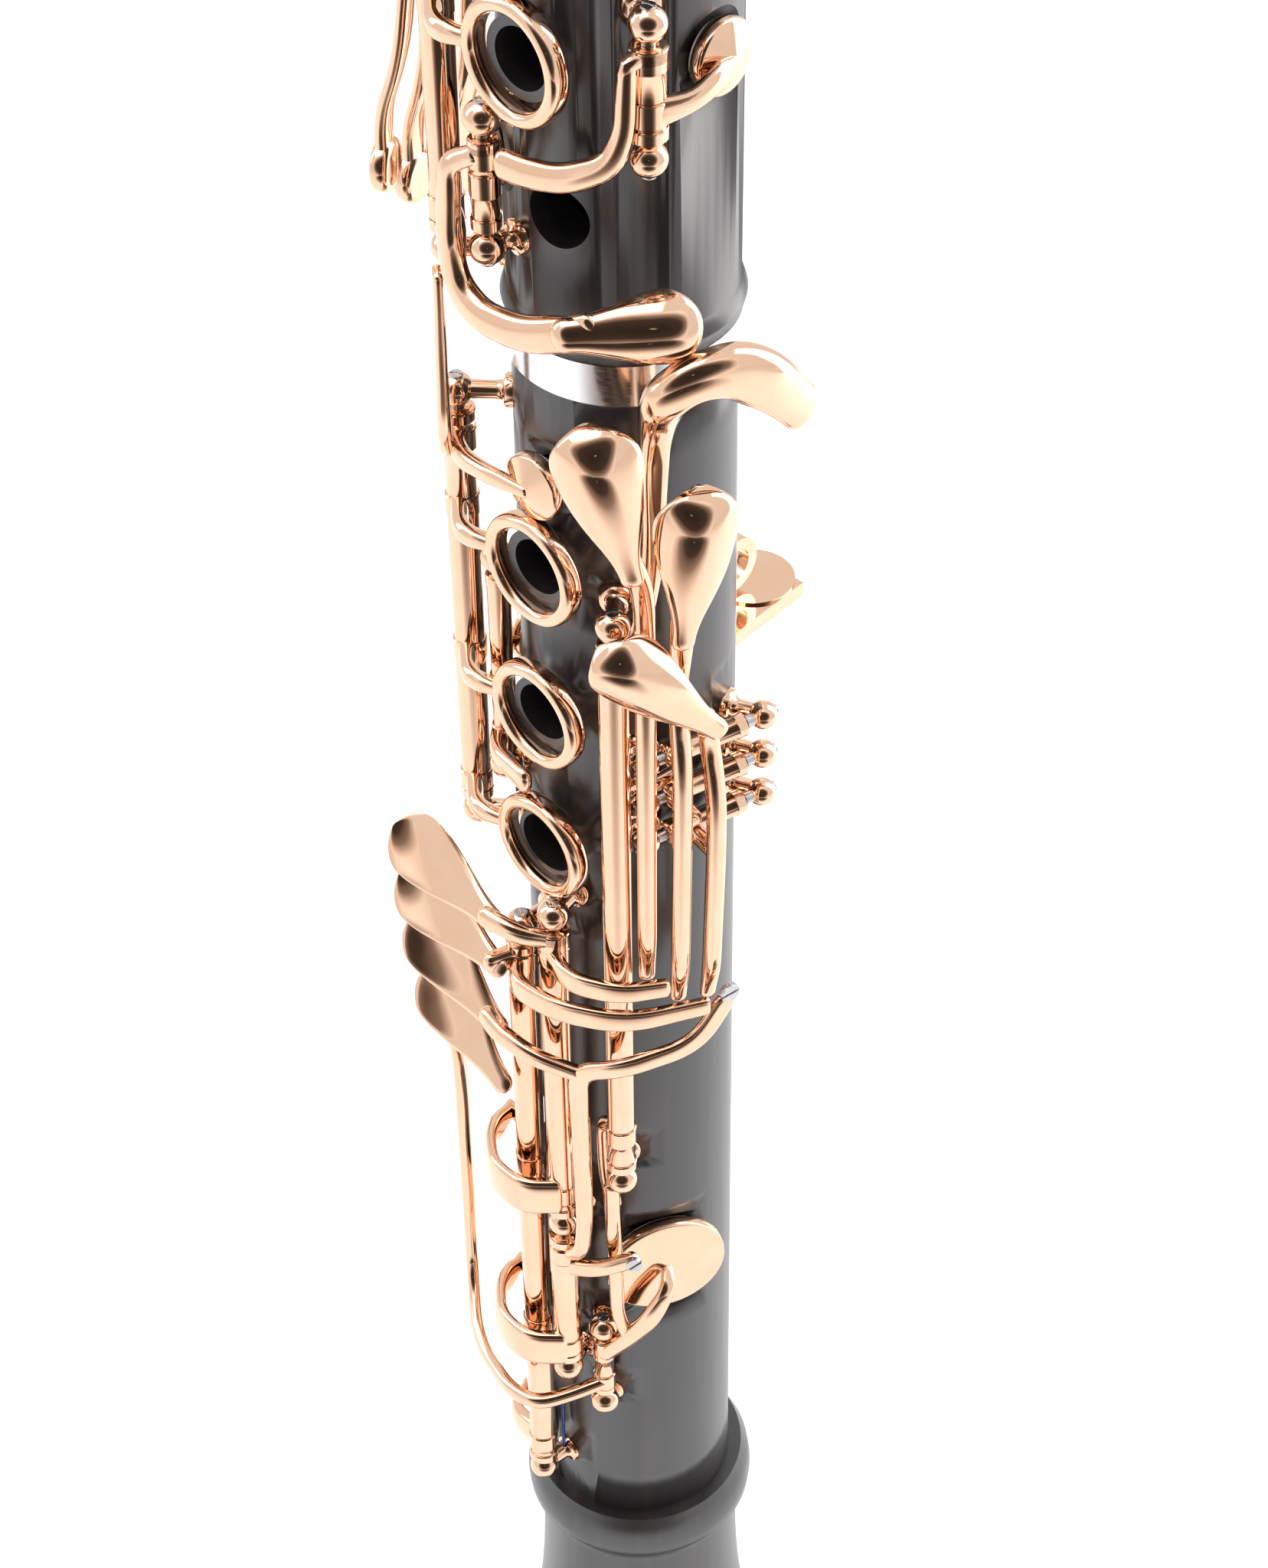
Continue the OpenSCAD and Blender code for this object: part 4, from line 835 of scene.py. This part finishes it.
class ClarinetUpperKeys(bpy.types.Operator):
    """C sharp and E flat keys of the upper joint, with their long curved touches"""

    bl_idname = "clarinet.upper_keys"
    bl_label = "Upper keys"

    def execute(self, context):
        curl = [tube_of(C_SHARP, [359, 363]), cup(S_C_SHARP)]
        curl += [bar([S_C_SHARP.top(0, 0.2), C_SHARP.at(359, 0.4)], [(0, 0.9, 0.8), (1, 1.7, 1.1)], 3, 2.5, LEVEL)]
        curl += [bar([polar(-18, 20, 363), polar(-26, 22, 361), polar(-27, 22.4, 350.0), polar(-23, 22, 344.4),
                      polar(-12, 21.4, 342.2), polar(6, 20.8, 342.2), polar(24, 21.2, 344.6), polar(32, 21.6, 346.0)],
                     [(0, 1.3, 1.2), (0.2, 1.8, 1.4), (0.6, 2.3, 1.7), (0.85, 2.5, 1.6), (1, 2.3, 1.2)], 8, 2.2,
                     OUT_OF_BORE, 24)]
        way = tangent(42) + np.array([0, 0, 0.06])
        curl += [touch(polar(24, 21.5, 344.9), way, outward(43) + np.array([0, 0, 0.35]), 16, 4.6, 2.2, 2.6, 2.2, 0.6)]
        gold_piece("c_sharp_key_fine", curl, "c_sharp_body", ["c_sharp_key"])
        side = [tube_of(E_FLAT, [374, 381]), cup(S_E_FLAT, 1.1)]
        side += [bar([E_FLAT.at(374, 1), polar(66, 19.6, 374.6), polar(76, 18.8, 375.6), S_E_FLAT.top(0, 0.2)],
                     [(0, 2, 1.2), (0.4, 1.4, 1), (0.8, 1.7, 0.9), (1, 0.9, 0.7)], 4, 2.5, LEVEL)]
        side += [bar([polar(50, 19.4, 381), polar(44, 20.6, 381.4), polar(43, 20.4, 372), polar(38, 20, 367.4),
                      polar(22, 19.4, 364.6), polar(6, 19.2, 364), polar(-3, 19.4, 364)],
                     [(0, 1.1, 1.1), (0.3, 1.3, 1.2), (0.7, 1.9, 1.4), (1, 2.0, 1.2)], 7, 2.2, OUT_OF_BORE, 24)]
        gold_piece("e_flat_key_fine", side, "e_flat_body", ["e_flat_key"])
        return {"FINISHED"}


SIDE_TOUCHES = [(-65, 30.5, 350), (-79, 30.5, 344), (-93, 29, 342), (-108, 28, 336.5)]


def cushion(azimuth, rho, z, radius, thick):
    """Round touch: a thick disc with a full round edge, turned about the line that runs straight out."""
    x, y = superellipse(32, 2.6)
    keep = x > -1e-9
    order = np.argsort(y[keep])
    rows = np.stack([radius - thick / 2 + thick / 2 * x[keep][order], rho + thick / 2 * y[keep][order]], axis=1)
    rows = np.vstack([[0, rows[0, 1]], rows, [0, rows[-1, 1] + 0.12]])
    return turned(rows, [0, 0, z], outward(azimuth), 44)


class ClarinetSideKeys(bpy.types.Operator):
    """Four side trill keys: broad curved arms from round touches to high pads"""

    bl_idname = "clarinet.side_keys"
    bl_label = "Side keys"

    def execute(self, context):
        for i, (p, s, (az, rho, z)) in enumerate(zip(P_SIDE, S_SIDE, SIDE_TOUCHES), 1):
            arm = bar([s.top(0, 0.2), polar(s.az, 20.4, s.z), polar(p.az, 22.4, p.z + 8), polar(p.az, 22.6, p.z),
                       polar(p.az, 23.4, p.z - 22), polar(az, rho - 3, z + 16), polar(az, rho, z + 7),
                       polar(az, rho, z)],
                      [(0, 0.9, 0.8), (0.2, 1.5, 0.9), (0.45, 1.7, 0.9), (0.8, 2.1, 0.8), (1, 1.9, 0.9)], 7, 3.0,
                      OUT_OF_BORE, 20)
            lug = bar([p.at(0), p.at(0, 22.4 - p.rho)], [(0, 1.2, 1.3), (1, 1.4, 1.2)], 2, 2.4, LEVEL)
            gold_piece(f"side_key_{i}_fine", [pivot_tube(p), cup(s), arm, lug, cushion(az, rho, z, 3.6, 2.4)],
                       f"side_{i}_body", [f"side_key_{i}"])
        return {"FINISHED"}


class ClarinetThroatKeys(bpy.types.Operator):
    """Throat A, throat G sharp and register keys"""

    bl_idname = "clarinet.throat_keys"
    bl_label = "Throat keys"

    def execute(self, context):
        table = (("throat_a", P_THROAT_A, S_THROAT_A, 21.4, 26, 4.4),
            ("throat_g_sharp", P_THROAT_G, S_THROAT_G, 21.4, 26, 4),
                 ("register", P_REGISTER, S_REGISTER, 21.5, 33, 4))
        for name, p, s, rho, drop, radius in table:
            foot = polar(p.az, rho, p.z - drop)
            arm = bar([s.top(0, 0.2), polar(s.az, 20.6, s.z), polar(p.az, 20.8, p.z), foot],
                      [(0, 0.9, 0.8), (0.2, 1.5, 1.0), (0.6, 1.8, 1.2), (1, 2.2, 0.9)], 5, 2.6)
            lug = bar([p.at(0), p.at(0, 20.6 - p.rho)], [(0, 1.3, 1.4), (1, 1.4, 1.3)], 2, 2.4, LEVEL)
            plate = touch(foot + [0, 0, 6], [0, 0, -1], outward(p.az), 6 + radius, radius, 1.8, 1.9, 0.5, 0.2)
            gold_piece(f"{name}_key_fine", [pivot_tube(p), cup(s), arm, lug, plate], f"{name}_body", [f"{name}_key"])
        return {"FINISHED"}


PADS = {
    "lower_ring_pad": (S_VENT, "lower_ring_body", "lower_ring"), "sliver_pad": (S_SLIVER, "sliver_body", None),
    "e_b_pad": (S_E_B, "e_b_body", "e_b"), "f_c_pad": (S_F_C, "f_c_body", "f_c"),
    "f_sharp_pad": (S_F_SHARP, "f_sharp_body", "f_sharp"), "a_flat_pad": (S_A_FLAT, "a_flat_body", None),
    "upper_ring_pad": (S_UPPER_VENT, "upper_ring_body", "upper_ring"), "c_sharp_pad": (S_C_SHARP, "c_sharp_body", None),
    "e_flat_pad": (S_E_FLAT, "e_flat_body", None), "thumb_ring_pad": (S_THUMB, "thumb_ring_body", "thumb_ring"),
    "side_pad_1": (S_SIDE[0], "side_1_body", None), "side_pad_2": (S_SIDE[1], "side_2_body", None),
    "side_pad_3": (S_SIDE[2], "side_3_body", None), "side_pad_4": (S_SIDE[3], "side_4_body", None),
    "throat_a_pad": (S_THROAT_A, "throat_a_body", None),
    "throat_g_sharp_pad": (S_THROAT_G, "throat_g_sharp_body", None),
    "register_pad": (S_REGISTER, "register_body", None),
}


class ClarinetPads(bpy.types.Operator):
    """Skin-covered felt pads in all the cups"""

    bl_idname = "clarinet.pads"
    bl_label = "Pads"

    def execute(self, context):
        for node, (s, body, open_key) in PADS.items():
            pad = make_piece(f"{node}_skin", [pad_skin(s)], FINISHES["pad_skin"], body, [node],
                open_key, 50)
        return {"FINISHED"}


def area_light(name, place, target, size, energy, colour=(1, 1, 1)):
    """A rectangular soft light that faces a point; places are in metres."""
    data = bpy.data.lights.new(name, "AREA")
    data.shape, data.size, data.size_y, data.energy, data.color = "RECTANGLE", size[0], size[1], energy, colour
    light = bpy.data.objects.new(name, data)
    light.location = place
    light.rotation_euler = (Vector(target) - Vector(place)).to_track_quat("-Z", "Y").to_euler()
    bpy.context.scene.collection.objects.link(light)


def painted_shade_sheet(name, middle, facing, half_width, half_height):
    """Painted shade seen only in reflections: a dark superellipse sheet that stands in for the unlit space beyond the
    open front of a light tent, near black in the middle and fading to near white at its edge.
    """
    facing = unit(facing)
    side = unit(np.cross(facing, [0, 0, 1]))
    up = np.cross(side, facing)
    x, y = superellipse(64, 5)
    share = np.linspace(0.02, 1, 8)[:, None, None]
    edge = half_width * x[:, None] * side + half_height * y[:, None] * up
    points, faces = shell(middle + share * edge[None])
    mesh = bpy.data.meshes.new(name)
    mesh.from_pydata(points.tolist(), [], faces.tolist())
    shade_sheet_finish = Finish(f"{name}_room", Roughness=1.0)
    # painted shade: near black in the middle of the sheet, fading to near white at its edge
    shade_sheet_finish.ramp(shade_sheet_finish.distance(middle, half_width, half_height),
              [(0.0, (0.008, 0.006, 0.005)), (0.5, (0.03, 0.022, 0.018)), (0.72, (0.22, 0.18, 0.16)),
               (0.98, (0.92, 0.91, 0.90))], "Base Color")
    mesh.materials.append(shade_sheet_finish.material)
    sheet = bpy.data.objects.new(name, mesh)
    bpy.context.scene.collection.objects.link(sheet)
    sheet.visible_camera = sheet.visible_shadow = sheet.visible_diffuse = False


VIEW_AZIMUTH, VIEW_DOWN, VIEW_FAR, VIEW_ROLL, VIEW_LENS = 42.0, 42.4, 0.4858, 0.7, 79.66
VIEW_TARGET_Z = 0.2541
SENSOR_WIDTH = 36
MIDDLE_HEIGHT = 0.3
# places and sizes of the two dark sheets of painted shade
SHADE_SHEET_BELOW, SHADE_SHEET_FAR, SHADE_SHEET_HALF = 19.0, 0.9, (1.25, 0.85)
FLOOR_SHADE_SHEET_FAR, FLOOR_SHADE_SHEET_HALF = 0.78, 0.58


class ClarinetStage(bpy.types.Operator):
    """Pale floor, soft lights, dark cards of painted shade seen only in reflections, and camera"""

    bl_idname = "clarinet.stage"
    bl_label = "Stage"

    def execute(self, context):
        scene = context.scene
        # floor: a plane grid, eight metres across, just under the bell rim
        u = np.linspace(-4, 4, 9)
        x, y = np.meshgrid(u, u, indexing="ij")
        i, j = np.meshgrid(np.arange(8), np.arange(8), indexing="ij")
        quads = np.stack([i * 9 + j, (i + 1) * 9 + j, (i + 1) * 9 + j + 1, i * 9 + j + 1], axis=-1).reshape(-1, 4)
        mesh = bpy.data.meshes.new("floor")
        mesh.from_pydata(np.stack([x, y, np.full_like(x, -0.0003)], axis=-1).reshape(-1, 3).tolist(), [],
            quads.tolist())
        tone = tuple(scene.clarinet_colours.floor)
        paper = Finish("floor_paper", Roughness=0.85)
        paper.ramp(paper.noise(6), [(0.3, tuple(c * 0.995 for c in tone)), (0.7, tone)], "Base Color")
        mesh.materials.append(paper.material)
        floor = bpy.data.objects.new("floor", mesh)
        scene.collection.objects.link(floor)

        world = scene.world or bpy.data.worlds.new("studio")
        scene.world = world
        world.use_nodes = True
        sky = world.node_tree.nodes["Background"]
        sky.inputs["Color"].default_value = (1, 1, 1, 1)
        sky.inputs["Strength"].default_value = 0.90
        scene.view_settings.view_transform = "Standard"
        scene.view_settings.look = "None"

        # camera: out from the target along azimuth and elevation, then rolled about its own line
        a, e = math.radians(VIEW_AZIMUTH), math.radians(VIEW_DOWN)
        away = Vector((math.sin(a) * math.cos(e), -math.cos(a) * math.cos(e), math.sin(e)))
        target = Vector((math.cos(a) * 0.0005, math.sin(a) * 0.0005, VIEW_TARGET_Z))
        place = target + away * VIEW_FAR
        forward = -away
        right = forward.cross(Vector((0, 0, 1))).normalized()
        above = right.cross(forward)
        r = math.radians(VIEW_ROLL)
        across = right * math.cos(r) - above * math.sin(r)
        upright = across.cross(forward)
        lens = bpy.data.cameras.new("view")
        lens.lens, lens.sensor_width, lens.sensor_fit = VIEW_LENS, SENSOR_WIDTH, "AUTO"
        lens.clip_start, lens.clip_end = 0.01, 50
        camera = bpy.data.objects.new("view", lens)
        turn = Matrix((across, upright, -forward)).transposed().to_4x4()
        camera.matrix_world = Matrix.Translation(place) @ turn
        scene.collection.objects.link(camera)
        scene.camera = camera

        # soft lights round the instrument, and two dark sheets of painted shade that only reflections show
        left, back = Vector((-math.cos(a), -math.sin(a), 0)), Vector((-math.sin(a), math.cos(a), 0))
        middle = Vector((0, 0, MIDDLE_HEIGHT))
        area_light("high_soft", middle + left * 0.5 + Vector((0, 0, 1.3)), middle, (1.2, 1.2), 7)
        area_light("right_soft", middle - left * 0.85 + back * 0.35 + Vector((0, 0, 0.3)), middle, (0.6, 1.5), 11,
                   (1, 0.97, 0.96))
        area_light("left_soft", middle + left * 0.9 + back * 0.2 + Vector((0, 0, 0.5)), middle, (0.35, 1.0), 2.2)
        # painted shade beyond the camera, seen only in reflections
        low = math.radians(VIEW_DOWN - SHADE_SHEET_BELOW)
        way = np.array([math.sin(a) * math.cos(low), -math.cos(a) * math.cos(low), math.sin(low)])
        painted_shade_sheet("shade_reflection_sheet", np.array(middle) + way * SHADE_SHEET_FAR, -way, *SHADE_SHEET_HALF)
        # painted shade on the floor towards the camera, seen only in reflections
        near = np.array([math.sin(a), -math.cos(a), 0]) * FLOOR_SHADE_SHEET_FAR
        painted_shade_sheet("floor_shade_reflection_sheet", near + [0, 0, 0.004], np.array([0, 0, 1]) + 0.01 * way, FLOOR_SHADE_SHEET_HALF,
                FLOOR_SHADE_SHEET_HALF)
        return {"FINISHED"}


STEPS = (ClarinetBody, ClarinetFittings, ClarinetPosts, ClarinetRingKeys, ClarinetRightHandKeys, ClarinetLeftHandLevers,
         ClarinetUpperKeys, ClarinetSideKeys, ClarinetThroatKeys, ClarinetPads, ClarinetStage)


class ClarinetPanel(bpy.types.Panel):
    """Sizes, colours and the steps that build the clarinet"""

    bl_idname = "VIEW3D_PT_clarinet"
    bl_label = "Clarinet"
    bl_space_type = "VIEW_3D"
    bl_region_type = "UI"
    bl_category = "Clarinet"

    def draw(self, context):
        for group in (context.scene.clarinet_sizes, context.scene.clarinet_colours):
            for name in group.__annotations__:
                self.layout.prop(group, name)
        for step in STEPS:
            self.layout.operator(step.bl_idname)


CLASSES = (ClarinetSizes, ClarinetColours, *STEPS, ClarinetPanel)


def register():
    for cls in CLASSES:
        bpy.utils.register_class(cls)
    bpy.types.Scene.clarinet_sizes = bpy.props.PointerProperty(type=ClarinetSizes)
    bpy.types.Scene.clarinet_colours = bpy.props.PointerProperty(type=ClarinetColours)


def unregister():
    del bpy.types.Scene.clarinet_colours
    del bpy.types.Scene.clarinet_sizes
    for cls in reversed(CLASSES):
        bpy.utils.unregister_class(cls)


def main():
    register()
    make_finishes(bpy.context.scene.clarinet_colours)
    for step in STEPS:
        family, name = step.bl_idname.split(".")
        getattr(getattr(bpy.ops, family), name)()


if __name__ == "__main__":
    main()
